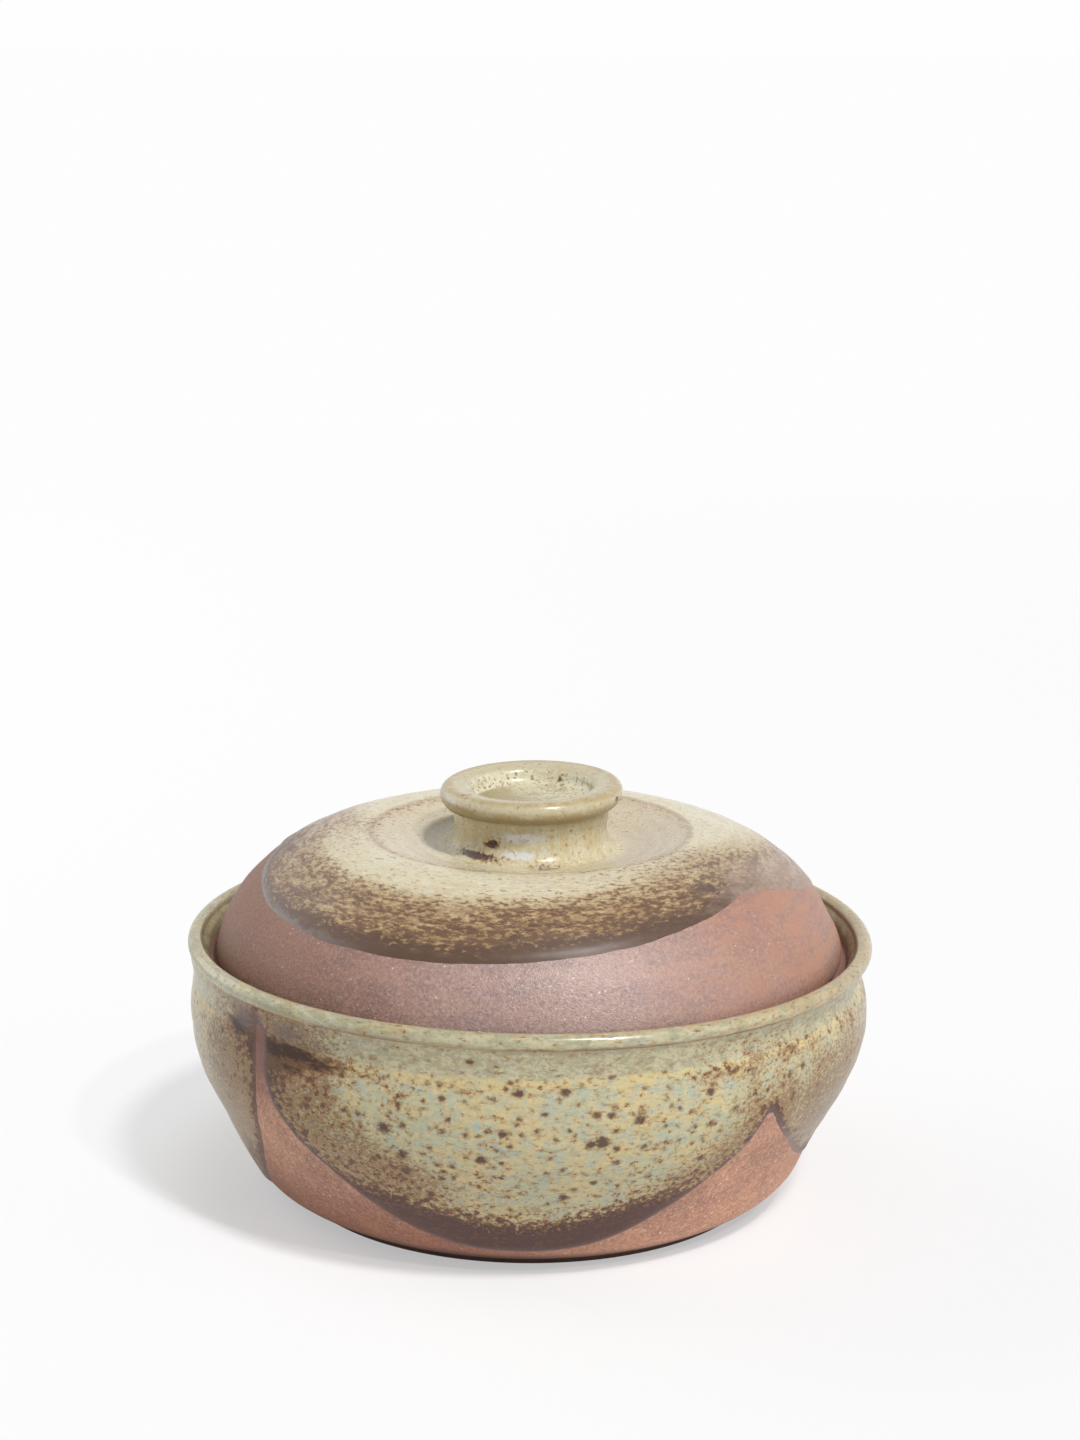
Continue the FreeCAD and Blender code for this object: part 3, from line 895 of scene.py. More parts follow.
# %% [markdown]
# ## Bare clay
#
# The clay is a coarse stoneware. Where the fire touched it, it went toasty orange brown, with sand grains
# that are lighter and iron grains that are darker, and a few grains of glass, painted as rare near-white
# specks that stand for their glints. Its roughness is real grain, so small bumps do as much for it as colour
# does. Every noise runs from 0 to 1 with its middle at 0.5, and a small multiple of one that is added to
# another makes its outlines ragged.

# %% Clay finishes
CLAY_WHEEL = 80.0
PAINTED_GLINT = (240, 228, 218)


class BareClay(Finish):
    """Clay in a warm and a dull tone, with pale and dark grains and streaks that the wheel left."""

    def __init__(self, name, warm, dull, pale, dark, streaks, streak_size):
        super().__init__(name)
        here = self.place()
        self.blotch = self.noise(here, 5.0, 3.0, 0.6, 0.3)
        self.sand = self.noise(here, 1.0, 2.0, 0.65)
        self.fine = self.noise(here, 0.50, 1.0, 0.6, 0.8)
        self.lines = self.noise(round_the_pot(self, CLAY_WHEEL, 0.14), streak_size, 3.0, 0.6)
        warmth = self.noise(here, 26.0, 2.0) + (self.blotch - 0.5) * 0.6
        warmth = warmth + (self.lines - 0.5) * streaks + (self.sand - 0.5) * 0.25
        self.colour = blend(rise(warmth, 0.30, 0.70), dull, warm)
        self.wash(rise(self.sand, 0.50, 0.68) * 0.50, pale)
        self.wash(rise(self.sand, 0.48, 0.32) * 0.40, dark)
        self.wash(rise(self.fine, 0.46, 0.28) * 0.45, dark)
        # Painted glints: rare near-white specks.
        painted_glint = rise(self.noise(here, 0.9, 0.0, 0.5, 1.7), 0.80, 0.83)
        self.wash(painted_glint * 0.8, PAINTED_GLINT)


print("Bare clay is ready to be mixed")

# %% Clay of the foot
BRICK_SHADE, SMOKED, CONTACT_SHADE_BROWN = (136, 84, 62), (132, 98, 90), (66, 42, 36)

clay_foot = BareClay("toasted_clay", warm=(202, 154, 128), dull=(174, 133, 115), pale=(220, 180, 154),
                     dark=(120, 84, 72), streaks=0.3, streak_size=2.4)
sand, fine = clay_foot.sand, clay_foot.fine
east, _, height = clay_foot.parts(clay_foot.place())
# Painted shade: the foot's clay is darker at the left and lighter at the right, as the lamps at the right
# would make it.
clay_foot.colour = shade(clay_foot.colour, 0.94 + rise(east, -0.070, 0.040) * 0.09)
# Painted shade: the clay low on the foot at the left is darkened towards a brick brown.
low_left_shade = rise(height, 0.030, 0.006) * rise(east, 0.045, -0.020)
clay_foot.wash(low_left_shade * 0.56, shade(BRICK_SHADE, 0.80 + sand * 0.40))
under_lip = rise(height, 0.042, 0.058)
clay_foot.wash(under_lip * 0.80, SMOKED)
# Painted contact shadow: the lowest few millimetres of the foot, where it meets the table, turn nearly black
# brown.
contact_shade = rise(height, 0.0075, 0.0014)
clay_foot.wash(contact_shade * 0.88, CONTACT_SHADE_BROWN)
clay_foot.surface(0.60 + fine * 0.2, bump(sand * 0.8 + fine * 0.5, 0.20, 0.9), 0.30)
clay_foot.tell()

# %% Clay of the lid
TOAST, ROSE, SHADED_BARK, ORANGE_TAN, SHEEN_PINK = (
    (178, 127, 98), (176, 126, 116), (124, 84, 62), (166, 124, 106), (190, 172, 168))

clay_lid = BareClay("flashed_clay", warm=(162, 130, 119), dull=(140, 110, 102), pale=(194, 166, 156),
                    dark=(98, 74, 68), streaks=1.1, streak_size=3.2)
sand, fine, lines = clay_lid.sand, clay_lid.fine, clay_lid.lines
east, north = clay_lid.parts(clay_lid.place())[:2]
right_side = rise(east, 0.015, 0.060)
clay_lid.wash(right_side * 0.55, shade(ORANGE_TAN, 0.74 + sand * 0.52))
toasted = (right_side * 0.75 + 0.25) * rise(lines + (clay_lid.blotch - 0.5) * 0.5, 0.38, 0.66)
clay_lid.wash(toasted * 0.62, TOAST)
rosy = rise(clay_lid.noise(clay_lid.place(), 9.0, 2.0, 0.6, 2.6), 0.44, 0.66)
clay_lid.wash(rosy * 0.20, ROSE)
# Painted shade: the left side of the lid's clay is darkened towards a bark brown.
shaded_side = rise(east, -0.020, -0.080)
clay_lid.wash(shaded_side * (0.40 + lines * 0.6), shade(SHADED_BARK, 0.60 + sand * 0.50 + fine * 0.30))
# Painted sheen: a whitish pink over the front middle of the lid's clay, where a lamp's reflection falls.
cloud_and_sheen = rise(east, -0.050, -0.010) * rise(east, 0.075, 0.025) * rise(north, -0.050, -0.070)
clay_lid.wash(cloud_and_sheen * (0.05 + sand * 0.40), SHEEN_PINK)
rough = 0.36 + fine * 0.14 + shaded_side * 0.24 + right_side * 0.08
clay_lid.surface(rough, bump(sand * 0.8 + fine * 0.7 + lines * 0.3, 0.22, 0.9), 0.58)
clay_lid.tell()

# %% [markdown]
# ## Ash glaze and iron
#
# Under every coat lies clay full of iron. Where the glaze is thick it is pale green to straw with blue-grey
# clouds, and only a few iron spots come through. Towards an edge it gets thinner, and the spots join up:
# first a peppering, then a mottle with gold in the gaps, and at last a solid purple brown. One recipe makes
# all of that. Cloudy noise plus a crowding level is the strength of the iron. It turns the glaze gold, then
# rust, then dark, and never at a sharp line, because the iron bled into the melt.

# %% Iron through the glaze
def iron_level(finish, where, size, crowd, ragged=0.62, shift=0.0):
    return finish.noise(where, size, 2.5, ragged, shift) + (crowd * 0.5 - 0.2)


class AshGlaze(Finish):
    """A glaze that turns from a pale body to iron as it gets thinner."""

    def lay_out(self, where):
        """Noises that all the glaze's patterns share: slow drift, patches, grit and fine grain."""
        self.where = where
        self.drift = self.noise(where, 12.0, 2.0)
        self.patch = self.noise(where, 3.6, 3.0, 0.62, 0.2)
        self.grit = self.noise(where, 1.05, 2.0, 0.6, 0.4)
        self.fine = self.noise(where, 0.50, 1.0, 0.5, 0.6)
        return self.patch, self.grit, self.fine, self.drift

    def lay_body(self, thick, straw, cloud):
        """The pale glaze where it is thick: two tones in soft clouds and a third here and there."""
        mottle = self.patch + (self.drift - 0.5) * 0.8 + (self.grit - 0.5) * 0.7
        self.colour = blend(rise(mottle, 0.34, 0.68), thick, straw)
        cloud_and_sheen = self.noise(self.where, 3.0, 3.0, 0.65, 0.9) + (self.fine - 0.5) * 0.5
        self.wash(rise(cloud_and_sheen, 0.45, 0.70), cloud)
        self.colour = shade(self.colour, 0.70 + self.grit * 0.37 + self.fine * 0.28)

    def pepper(self, amount, brown, size=1.0):
        """Fine brown grain, as dense as the amount."""
        level = iron_level(self, self.where, size, amount, 0.65, 1.3)
        self.wash(rise(level, 0.42, 0.58) * 0.80, brown)

    def iron(self, crowd, size, gold, rust, heart, band, soft=0.0):
        """Spots, mottle and solid iron, by how crowded they are."""
        level = iron_level(self, self.where, size, crowd) + (self.fine - 0.5) * 0.22
        self.wash(rise(level, 0.36 - soft, 0.50 + soft) * 0.65, gold)
        self.wash(rise(level, 0.45 - soft, 0.57 + soft) * 0.90, rust)
        self.wash(rise(level, 0.52 - soft, 0.64 + soft) * 0.88, heart)
        solid = rise(crowd + (self.patch - 0.5) * 0.6, 0.66, 0.92)
        self.wash(solid * 0.85, shade(band, 0.74 + self.grit * 0.52))
        flecks = rise(self.grit + (self.fine - 0.5) * 0.6, 0.55, 0.68) * rise(crowd, 0.99, 0.74)
        self.wash(flecks * rise(crowd, 0.40, 0.60) * 0.55, gold)

    def dot(self, spacing, size, share, halo, heart, strength, where=None):
        """Round iron spots up to size mm in radius; share is how many places have one."""
        cell = {"Vector": where or self.where, "Scale": 1 / (spacing * MM)}
        away = self.node("ShaderNodeTexVoronoi", None, cell)
        chance = self.parts(self.node("ShaderNodeTexVoronoi", None, cell, output="Color"))
        level = away * (spacing / size) + (self.grit - 0.5) * 1.8 + chance[1] * 0.6
        level = level + rise(chance[0] - share, -0.01, 0.01) * 9
        self.wash(rise(level, 1.55, 0.65) * strength * 0.60, halo)
        self.wash(rise(level, 1.10, 0.40) * strength * 0.90, heart)


RUST_GOLD, RUST, HEART = (178, 146, 98), (134, 98, 68), (90, 64, 56)
print("Iron goes from gold", RUST_GOLD, "through rust", RUST, "to dark", HEART)

# %% Spots in places of their own
BOWL_WHEEL, BOWL_SQUEEZE = 97.0, 0.82
outer_points = outline(OUTER_START, [WIPE_LINE, *OUTSIDE])


def bowl_along(height):
    """Distance along the bowl's outside outline at which it reaches a height in mm."""
    travelled = 0.0
    for here_point, there_point in zip(outer_points, outer_points[1:]):
        length = math.dist(here_point, there_point)
        if there_point[1] >= height:
            return travelled + length * (height - here_point[1]) / (there_point[1] - here_point[1])
        travelled += length
    return travelled


def bowl_spots(finish, where, spots):
    """How near each place is to the nearest of a few large spots: 1 at a spot's rim, 0 at its middle."""
    nearest = None
    ring = BOWL_WHEEL * BOWL_SQUEEZE
    for heading, height, size in spots:
        turned = math.radians(heading)
        middle = (ring * math.cos(turned) * MM, ring * math.sin(turned) * MM, bowl_along(height) * MM)
        share = finish.vector("DISTANCE", where, middle, output=1) * (1 / (size * MM))
        nearest = share.reckon("MINIMUM", nearest, share) if nearest else share
    return nearest


print("The bowl's outside wall is", round(bowl_along(OUTSIDE[-1][1]), 1), "mm long from foot to lip")

# %% [markdown]
# ## The bowl's outside glaze
#
# At the front foot the glaze ran down and thinned to a broad purple-brown band. Up the sides of a dip the
# dark line is narrow, with a wide zone of fine brown grain beside it at the left and a narrower one at the
# right. Above the shoulder the glaze is smoother and greyer, and the shoulder itself has an ochre line
# where the glaze broke thin. Fourteen spots are large enough to be placed one by one.

# %% How crowded the iron is on the bowl
IRON_FREE = [(-46.5, 55.5, 7.0)]

glaze_bowl = AshGlaze("spotted_ash_glaze")
here = round_the_pot(glaze_bowl, BOWL_WHEEL, BOWL_SQUEEZE)
patch, grit, fine, drift = glaze_bowl.lay_out(here)
east, north, height = glaze_bowl.parts(glaze_bowl.place())
rust, soot, haze = (glaze_bowl.attribute(kind) for kind in ("rust", "soot", "haze"))
edge = glaze_bowl.attribute("dip_mm") + (patch - 0.5) * 8 + (grit - 0.5) * 5

low = rise(height, 0.034, 0.019)
leftward = rise(east + (drift - 0.5) * 0.05, 0.015, -0.040)
run_down = follow(edge, [(0, 1.0), (9, 0.98), (12, 0.70), (14.5, 0.44), (18, 0.20), (26, 0.10), (50, 0.06)])
wide = follow(edge, [(0, 1.0), (1.8, 0.92), (3.4, 0.44), (14, 0.30), (24, 0.18), (34, 0.08), (50, 0.06)])
narrow = follow(edge, [(0, 1.0), (1.4, 0.92), (2.6, 0.42), (7, 0.26), (12, 0.14), (20, 0.08), (50, 0.06)])
sides = wide * leftward + narrow * (1 - leftward)
lapped = rise(glaze_bowl.attribute("lap_mm") + (patch - 0.5) * 6, 6.0, 0.5) * 0.14
right_end = rise(east, 0.066, 0.074) * (1 - low * 0.5)
left_end = rise(east, -0.070, -0.077)
clean = rise(bowl_spots(glaze_bowl, here, IRON_FREE), 1.25, 0.5)
clean = clean * (1 - right_end * 0.5) + right_end * 0.45 + left_end * 0.40
crowd = (run_down * low + sides * (1 - low) + lapped) * (1 - clean * 0.80) + rust * 0.62

pepper_left = follow(edge, [(0, 0.7), (4, 0.60), (16, 0.48), (26, 0.32), (36, 0.10), (50, 0.0)])
pepper_right = follow(edge, [(0, 0.7), (4, 0.48), (10, 0.34), (16, 0.16), (24, 0.04), (50, 0.0)])
pepper = (pepper_left * leftward + pepper_right * (1 - leftward)) * (1 - low * 0.6) + rust * 0.5
ends = rise(east + (drift - 0.5) * 0.03, 0.066, 0.086) * 0.50 + left_end * 0.30
ends = ends * rise(north + (drift - 0.5) * 0.06, 0.020, -0.030)
pepper = pepper * (1 - clean * 0.5) + ends * rise(height + (patch - 0.5) * 0.02, 0.070, 0.048)
glaze_bowl.tell()

# %% Body, shoulder and speckle of the bowl
SAGE, STRAW, BLUE_GREY = (186, 183, 151), (202, 184, 138), (168, 179, 166)
KHAKI, SMOKY_SAGE, PALE_SAGE = (172, 156, 120), (166, 159, 132), (193, 188, 158)
OCHRE, GRAIN_BROWN, PURPLE_BROWN = (210, 190, 136), (122, 98, 78), (88, 62, 58)

glaze_bowl.lay_body(SAGE, STRAW, BLUE_GREY)
zone = rise(pepper, 0.08, 0.44)
glaze_bowl.wash(zone * 0.75, shade(KHAKI, 0.80 + grit * 0.40))
neck = rise(height + (patch - 0.5) * 0.003, 0.0632, 0.0652)
smooth = blend(rise(grit + (patch - 0.5) * 0.9, 0.36, 0.64), SMOKY_SAGE, PALE_SAGE)
glaze_bowl.wash(neck * (1 - zone * 0.6) * 0.85, smooth)
ridge = rise(height + (grit - 0.5) * 0.002, 0.0612, 0.0622) * rise(height, 0.0648, 0.0636)
ridge = ridge * rise(patch, 0.34, 0.56) * (1 - zone * 0.5)
glaze_bowl.wash(ridge * 0.65, OCHRE)
glaze_bowl.pepper(pepper, GRAIN_BROWN, 0.9)
glaze_bowl.iron(crowd * (1 - neck * 0.3), 1.7, RUST_GOLD, RUST, HEART, PURPLE_BROWN)
few = (1 - neck * 0.65) * rise(crowd, 0.60, 0.35)
glaze_bowl.dot(3.0, 1.15, 0.72, halo=(158, 124, 82), heart=(98, 70, 58), strength=few,
               where=round_the_pot(glaze_bowl, BOWL_WHEEL, 0.85))
glaze_bowl.tell()

# %% Large spots, soot and haze on the bowl
LARGE_SPOTS = [(-112.9, 48.2, 1.5), (-110.1, 40.7, 1.2), (-110.0, 35.4, 1.4), (-97.2, 41.2, 1.2),
               (-93.8, 49.4, 1.1), (-78.4, 46.4, 1.6), (-80.2, 46.0, 1.1), (-72.6, 52.0, 1.1),
               (-91.4, 60.6, 1.1), (-84.2, 60.8, 1.1), (-106.5, 28.0, 1.2), (-60.5, 57.0, 1.0),
               (-84.0, 28.5, 1.1), (-99.0, 69.0, 0.8)]
SPOT_HALO, SPOT_HEART = (152, 120, 82), (86, 62, 58)
SOOT_HALO, SOOT_BLACK, SMOKE = (142, 104, 66), (54, 34, 26), (112, 94, 88)
SKIM_LEFT, SKIM_RIGHT = (116, 92, 86), (152, 132, 126)

spot = bowl_spots(glaze_bowl, here, LARGE_SPOTS) + (grit - 0.5) * 1.8 + (fine - 0.5) * 0.6
glaze_bowl.wash(rise(spot, 1.9, 0.80) * 0.6, SPOT_HALO)
glaze_bowl.wash(rise(spot, 1.30, 0.50) * 0.90, SPOT_HEART)
smear = glaze_bowl.noise(round_the_pot(glaze_bowl, BOWL_WHEEL, 0.26), 1.2, 3.0, 0.65, 1.9)
smeared = soot + (smear - 0.5) * 1.5 + (grit - 0.5) * 0.8
glaze_bowl.wash(rise(smeared, 0.02, 0.55) * 0.70, SOOT_HALO)
glaze_bowl.wash(rise(smeared, 0.12, 0.80) * 0.94, SOOT_BLACK)
glaze_bowl.wash(rise(haze + (grit - 0.5) * 0.5, 0.15, 0.90) * 0.78, SMOKE)
skim_and_sheen = rise(glaze_bowl.attribute("dip_mm") + (grit - 0.5) * 1.2, 1.6 + right_end * 1.4, 0.3)
glaze_bowl.wash(skim_and_sheen * 0.65, blend(right_end, SKIM_LEFT, SKIM_RIGHT))
dark = rise(crowd, 0.45, 0.80)
relief = bump(patch * 0.6 + grit * 0.25 - dark * 0.4, 0.12, 0.6)
glaze_bowl.surface(0.26 + dark * 0.14 + grit * 0.08, relief, 0.28)
glaze_bowl.tell()

# %% [markdown]
# ## The rim's glaze
#
# The lip was dipped again by itself. It is sage grey on its face, breaks to ochre along its crest, and has
# a thin rust-brown line where it tucks under. The gallery wall inside it is a darker olive brown. The zones
# follow the distance along the outline, in millimetres from where the coat starts under the lip.

# %% Glaze on the rim
RIM_WHEEL = 98.0
RIM_GREY, RIM_STRAW, RIM_CLOUD = (164, 161, 132), (192, 185, 150), (190, 192, 174)
SHADED_OLIVE, TAN, RIM_OCHRE, TUCK_RUST = (142, 130, 92), (186, 156, 112), (182, 150, 100), (134, 96, 68)
CREST_OCHRE, WALL_BROWN, WALL_STRAW = (182, 150, 98), (138, 122, 94), (170, 156, 124)

glaze_rim = AshGlaze("rim_glaze")
here = round_the_pot(glaze_rim, RIM_WHEEL, 0.40)
patch, grit, fine, drift = glaze_rim.lay_out(here)
east = glaze_rim.parts(glaze_rim.place())[0] + (drift - 0.5) * 0.06
along = glaze_rim.attribute("along") + (grit - 0.5) * 0.9
rust = glaze_rim.attribute("rust")
glaze_rim.colour = blend(rise(patch + (grit - 0.5) * 0.8, 0.38, 0.62), RIM_GREY, RIM_STRAW)
glaze_rim.wash(rise(glaze_rim.noise(here, 5.0, 2.0, 0.6, 1.1), 0.52, 0.68) * 0.55, RIM_CLOUD)
# Olive streaks, laid only on the left of the lip: partly the glaze's own colour, partly painted shade on the
# side away from the lamps.
olive_and_shade = rise(patch + (drift - 0.5) * 0.8, 0.42, 0.60) * rise(east, 0.0, -0.070)
glaze_rim.wash(olive_and_shade * 0.60, SHADED_OLIVE)
tan = rise(east, 0.030, 0.085) * rise(grit, 0.36, 0.56)
glaze_rim.wash(tan * 0.55, TAN)
tuck = rise(along, 0.9, 1.5) * rise(along, 3.0, 2.1)
broken = rise(glaze_rim.noise(here, 4.5, 2.0, 0.6, 2.3), 0.38, 0.56)
glaze_rim.wash(tuck * 0.55, RIM_OCHRE)
glaze_rim.wash(tuck * broken * 0.70, TUCK_RUST)
crest = rise(along, 5.2, 6.0) * rise(along, 7.6, 6.6) * rise(patch, 0.40, 0.58)
glaze_rim.wash(crest * 0.50, CREST_OCHRE)
gallery = rise(along, 8.2, 9.6)
glaze_rim.wash(gallery * 0.7, blend(rise(patch, 0.4, 0.6), WALL_BROWN, WALL_STRAW))
glaze_rim.pepper(rust * 0.5 + 0.14, (132, 106, 82), 0.8)
glaze_rim.iron(rust * 0.6 + 0.02, 1.5, RUST_GOLD, RUST, HEART, band=(96, 72, 68))
glaze_rim.colour = shade(glaze_rim.colour, 0.86 + fine * 0.24)
glaze_rim.surface(0.20 + grit * 0.10, bump(patch * 0.7 + grit * 0.25, 0.16, 0.7))
glaze_rim.tell()

# %% [markdown]
# ## The glaze inside
#
# The same glaze was poured into the bowl and into the lid. It is thick and even there, with fewer spots
# and a short brown edge where it was wiped off the ledge.

# %% Glaze inside the bowl and the lid
glaze_inside = AshGlaze("inside_glaze")
patch, grit = glaze_inside.lay_out(glaze_inside.place())[:2]
edge = glaze_inside.attribute("dip_mm") + (patch - 0.5) * 3 + (grit - 0.5) * 2
glaze_inside.lay_body((190, 186, 154), (200, 184, 142), (180, 188, 170))
glaze_inside.pepper(follow(edge, [(0, 0.5), (6, 0.3), (20, 0.05)]), (132, 104, 82))
crowd = follow(edge, [(0, 1.0), (1.0, 0.7), (2.2, 0.35), (5, 0.14), (20, 0.05)])
glaze_inside.iron(crowd, 1.7, RUST_GOLD, RUST, HEART, band=(104, 80, 70))
glaze_inside.dot(5.0, 1.0, 0.45, halo=(164, 130, 86), heart=(104, 74, 60), strength=1.0)
glaze_inside.surface(0.20 + grit * 0.06, bump(patch * 0.5 + grit * 0.2, 0.10, 0.5))
glaze_inside.tell()

# %% [markdown]
# ## The lid's glaze
#
# Over the lid the same glaze lies thicker and creamier. Its lower edge is the best part: about six
# millimetres of solid brown, then brown with gold in the gaps, then pepper, for four centimetres in all.
# The second dip ends in a line of dark spots. The knob's marks, near-white patches, black flecks and a dark
# streak along its foot, are patches like those of the bowl.

# %% Marks on the lid and the knob
KNOB_WHEEL, KNOB_REACH = 22.5, 27.5
KNOB_PATCHES = [(-119.0, 106.6, 2.4, 1.3, 1.0), (-131.0, 102.9, 8.0, 0.9, 1.0), (-80.0, 101.7, 4.2, 0.7, 0.6),
                (-22.0, 117.8, 1.0, 0.8, 0.9), (-141.0, 113.8, 1.2, 0.8, 0.7), (150.0, 108.0, 4.0, 2.0, 0.6),
                (-143.0, 120.0, 1.6, 0.8, 0.6), (60.0, 117.2, 1.4, 0.8, 0.7)]
KNOB_WHITE_PATCHES = [(-95.0, 109.0, 7.6, 1.9, 1.0), (-98.0, 104.2, 6.2, 1.3, 1.0), (70.0, 107.0, 7.0, 2.0, 0.8),
              (-150.0, 117.5, 6.0, 1.6, 0.5)]
for kind, patches in (("rust", KNOB_PATCHES), ("white_patch", KNOB_WHITE_PATCHES)):
    note(lid_outside, kind, patch_levels(lid_outside, patches, KNOB_WHEEL, KNOB_REACH))
    print("The knob has", len(patches), "marks of", kind)

# %% How crowded the iron is on the lid
LID_WHEEL = 70.0

glaze_lid = AshGlaze("cream_glaze")
east, north, height = glaze_lid.parts(glaze_lid.place())
flat = glaze_lid.vector("MULTIPLY", glaze_lid.place(), (1, 1, 0))
out_from_axis = glaze_lid.vector("LENGTH", flat, output=1)
knob = rise(out_from_axis, 0.0285, 0.0275)
off_knob = 1 - knob
patch, grit, _, drift = glaze_lid.lay_out(glaze_lid.node(
    "ShaderNodeMix", {"data_type": "VECTOR"},
    {0: knob, 4: round_the_pot(glaze_lid, LID_WHEEL, 0.50), 5: glaze_lid.place()}, output=1))
dip, rust, white_patch = (glaze_lid.attribute(kind) for kind in ("dip_mm", "rust", "white_patch"))
far_left = rise(east, -0.058, -0.082)
toward_right = rise(east, 0.026, 0.062)
edge = dip * (1 + far_left * 1.1 + toward_right * 0.40) + (patch - 0.5) * 12 + (grit - 0.5) * 6

wide_streaks = glaze_lid.noise(round_the_pot(glaze_lid, LID_WHEEL, 0.26), 3.4, 3.0, 0.6, 5.1)
crowd = follow(edge, [(0, 1.0), (4.5, 0.92), (7.5, 0.70), (14, 0.58), (20, 0.49), (28, 0.43), (36, 0.32),
                      (44, 0.16), (52, 0.04), (60, 0.0)])
crowd = crowd + (wide_streaks - 0.5) * 1.5 * rise(edge, 40, 22) * rise(edge, 4, 12)
lapped = rise(glaze_lid.attribute("lap_mm") + (grit - 0.5) * 4, 2.6, 0.4) * rise(edge, 36, 14) * 0.22
crowd = (crowd + lapped) * off_knob + rust * 0.80
glaze_lid.tell()

# %% Cream, dish and ridge of the lid
CREAM, WARM_CREAM, COOL_CREAM = (211, 202, 170), (208, 195, 160), (209, 207, 187)
DARK_STREAK, PALE_STREAK, EDGE_TAN = (202, 186, 160), (222, 214, 186), (186, 166, 126)
DISH_TONE, RIDGE_SHADE_BROWN, RIDGE_HIGHLIGHT = (200, 185, 162), (170, 150, 118), (220, 210, 180)

glaze_lid.lay_body(CREAM, WARM_CREAM, COOL_CREAM)
glaze_lid.colour = shade(glaze_lid.colour, 1 - knob * 0.05)
streaks = glaze_lid.noise(round_the_pot(glaze_lid, LID_WHEEL, 0.12), 2.6, 3.0, 0.6, 2.9)
glaze_lid.wash(rise(streaks, 0.50, 0.64) * off_knob * 0.60, DARK_STREAK)
glaze_lid.wash(rise(streaks, 0.48, 0.36) * off_knob * 0.50, PALE_STREAK)
tan = rise(dip + (streaks - 0.5) * 52, 54, 24)
glaze_lid.wash(tan * 0.88 * off_knob, shade(EDGE_TAN, 0.80 + grit * 0.38))
dish = rise(out_from_axis + (patch - 0.5) * 0.004, 0.0475, 0.0455) * off_knob
# Painted shade: the dish is greyer all round and darker towards the right and back, where its inner slope
# faces away from the lamps.
dish_shade_side = rise(east + north * 0.5 + (drift - 0.5) * 0.04, -0.010, 0.020)
glaze_lid.wash(dish * (0.40 + dish_shade_side * 0.30), shade(DISH_TONE, 0.86 + grit * 0.28))
# Painted shade: a dark brown line along the dish's ridge, stronger towards the right and back.
ridge = rise(out_from_axis, 0.0452, 0.0462) * rise(out_from_axis, 0.0480, 0.0470)
glaze_lid.wash(ridge * rise(patch, 0.34, 0.52) * (0.40 + dish_shade_side * 0.35), RIDGE_SHADE_BROWN)
# Painted highlight: a pale ring just outside the dish's ridge.
ridge_highlight = rise(out_from_axis, 0.0476, 0.0490) * rise(out_from_axis, 0.0530, 0.0500)
glaze_lid.wash(ridge_highlight * 0.45, RIDGE_HIGHLIGHT)
pepper = follow(edge, [(0, 0.5), (10, 0.46), (20, 0.42), (28, 0.32), (38, 0.18), (48, 0.0), (60, 0.0)])
glaze_lid.pepper(pepper * off_knob, (146, 118, 92), 0.8)
glaze_lid.tell()

# %% Waist, ring and cup of the knob
WAIST_STRAW, UNDER_RING_SHADE_OLIVE, BROW_OCHRE = (196, 176, 130), (132, 116, 76), (172, 144, 96)
CUP_CREAM, CUP_SPECK, RING_SAGE, NEAR_WHITE = (224, 222, 196), (110, 92, 60), (168, 154, 116), (222, 225, 228)

streaky = glaze_lid.noise(glaze_lid.vector("MULTIPLY", glaze_lid.place(), (1, 1, 0.12)), 2.0, 2.0, 0.6, 3.1)
waist = knob * rise(height, 0.1165, 0.1145)
glaze_lid.wash(waist * rise(streaky, 0.42, 0.62) * 0.5, WAIST_STRAW)
# Painted shade: a dark olive band in the cove under the knob's ring.
under_ring_shade = knob * rise(height, 0.1120, 0.1138) * rise(height, 0.1162, 0.1148)
glaze_lid.wash(under_ring_shade * 0.80, UNDER_RING_SHADE_OLIVE)
inner_brow = rise(height, 0.1185, 0.1197) * rise(out_from_axis, 0.0218, 0.0234)
brow = knob * (inner_brow + rise(height, 0.1146, 0.1156) * rise(height, 0.1176, 0.1162))
glaze_lid.wash(brow * rise(patch + (grit - 0.5) * 0.6, 0.30, 0.54) * 0.7, BROW_OCHRE)
cup = knob * rise(out_from_axis, 0.0192, 0.0176) * rise(height, 0.1150, 0.1154)
cup_specks = rise(glaze_lid.noise(glaze_lid.place(), 1.3, 1.0, 0.5, 4.2), 0.58, 0.68) * cup
glaze_lid.wash(cup * rise(patch, 0.30, 0.54) * 0.8, CUP_CREAM)
glaze_lid.wash(cup_specks * 0.7, CUP_SPECK)
ring = knob * (1 - cup) * rise(height, 0.1140, 0.1155)
glaze_lid.wash(ring * 0.35, RING_SAGE)
# Near-white patches on the knob, mostly at the front of its neck and foot.
glaze_lid.wash(rise(white_patch + (patch - 0.5) * 0.8, 0.25, 0.80) * 0.85, NEAR_WHITE)
glaze_lid.tell()

# %% Iron on the lid and the knob
LID_GOLD, LID_RUST, LID_HEART, LID_BAND = (180, 152, 106), (142, 110, 80), (100, 74, 56), (84, 62, 50)
FADED_PINK, COAL_BLACK, SHEEN_GREY = (174, 150, 134), (70, 46, 38), (158, 150, 146)

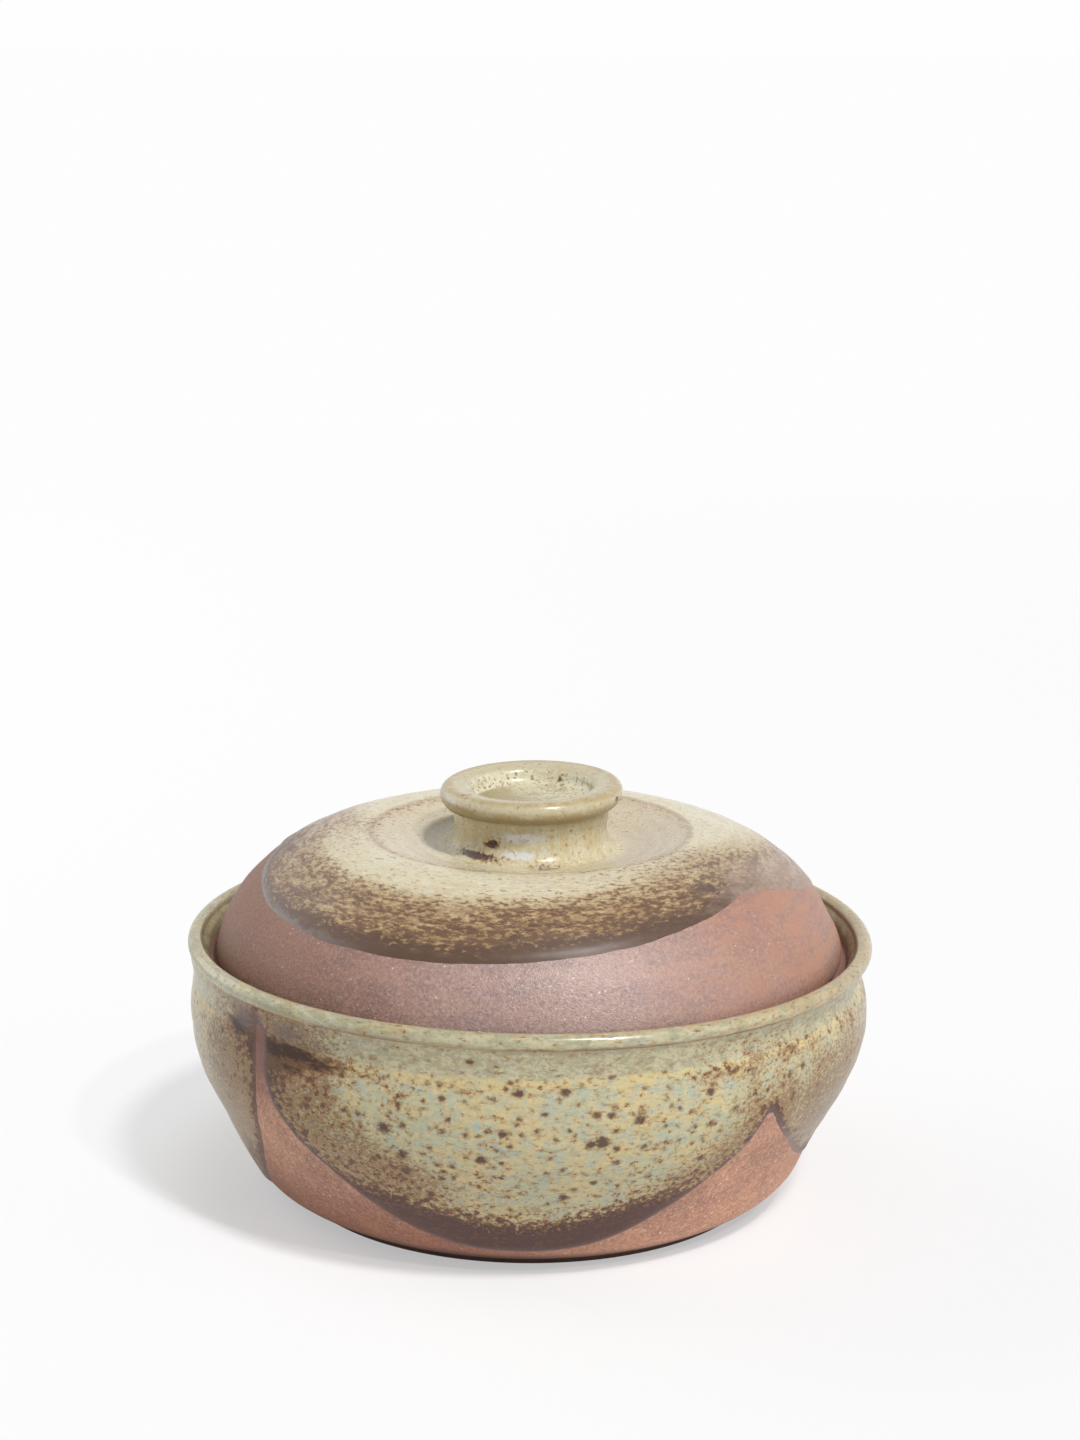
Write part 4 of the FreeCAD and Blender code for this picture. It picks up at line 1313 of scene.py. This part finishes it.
glaze_lid.iron(crowd, 1.25, LID_GOLD, LID_RUST, LID_HEART, LID_BAND, soft=0.05)
scattered = rise(edge, 48, 30) * rise(edge, 8, 16) * off_knob
glaze_lid.dot(2.8, 0.9, 0.62, halo=(160, 130, 92), heart=(108, 80, 60), strength=0.15 + scattered * 0.70)
faded = rise(east + (patch - 0.5) * 0.03, 0.046, 0.066) * rise(edge, 34, 10) * off_knob
glaze_lid.wash(faded * (0.24 + grit * 0.9), FADED_PINK)
coal = rise(rust + (grit - 0.5) * 0.8, 0.36, 0.62)
glaze_lid.wash(coal * 0.85, COAL_BLACK)
# Painted sheen: whitish grey along the dip's edge at the far left of the lid, where the glaze is thin.
skim_and_sheen = rise(dip + (grit - 0.5) * 5 + (patch - 0.5) * 6, 3.2, 0.2)
glaze_lid.wash(skim_and_sheen * rise(east, -0.035, -0.066) * 0.40, SHEEN_GREY)
dark = rise(crowd, 0.45, 0.80)
relief = bump(patch * 0.6 + grit * 0.25 - dark * 0.4, 0.12, 0.6)
glaze_lid.surface(0.22 + dark * 0.14 + grit * 0.08, relief, 0.36)
glaze_lid.tell()

# %% [markdown]
# ## Putting the pot together
#
# Each piece takes its finish, rides on its body and stands for its CAD solid.

# %% Finishes, bodies and stand-ins
ROLES = [
    (bowl_clay, clay_foot, "bowl", "bowl", "bowl_clay"),
    (bowl_outside, glaze_bowl, "bowl", "bowl_outside_glaze", "bowl_outside_glaze"),
    (bowl_rim, glaze_rim, "bowl", "bowl_rim_glaze", "bowl_rim_glaze"),
    (bowl_inside, glaze_inside, "bowl", "bowl_inside_glaze", "bowl_inside_glaze"),
    (lid_clay, clay_lid, "lid", "lid", "lid_clay"),
    (lid_outside, glaze_lid, "lid", "lid_outside_glaze", "lid_outside_glaze"),
    (lid_inside, glaze_inside, "lid", "lid_inside_glaze", "lid_inside_glaze"),
    (knob_clay, clay_lid, "lid", "knob", "knob_clay"),
]
for piece, finish, body_name, node_name, slot_name in ROLES:
    piece.data.materials.clear()
    piece.data.materials.append(finish.material)
    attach(piece, body_name)
    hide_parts(node_name)
    print(piece.name, "stands for", node_name, "with", finish.material.name)
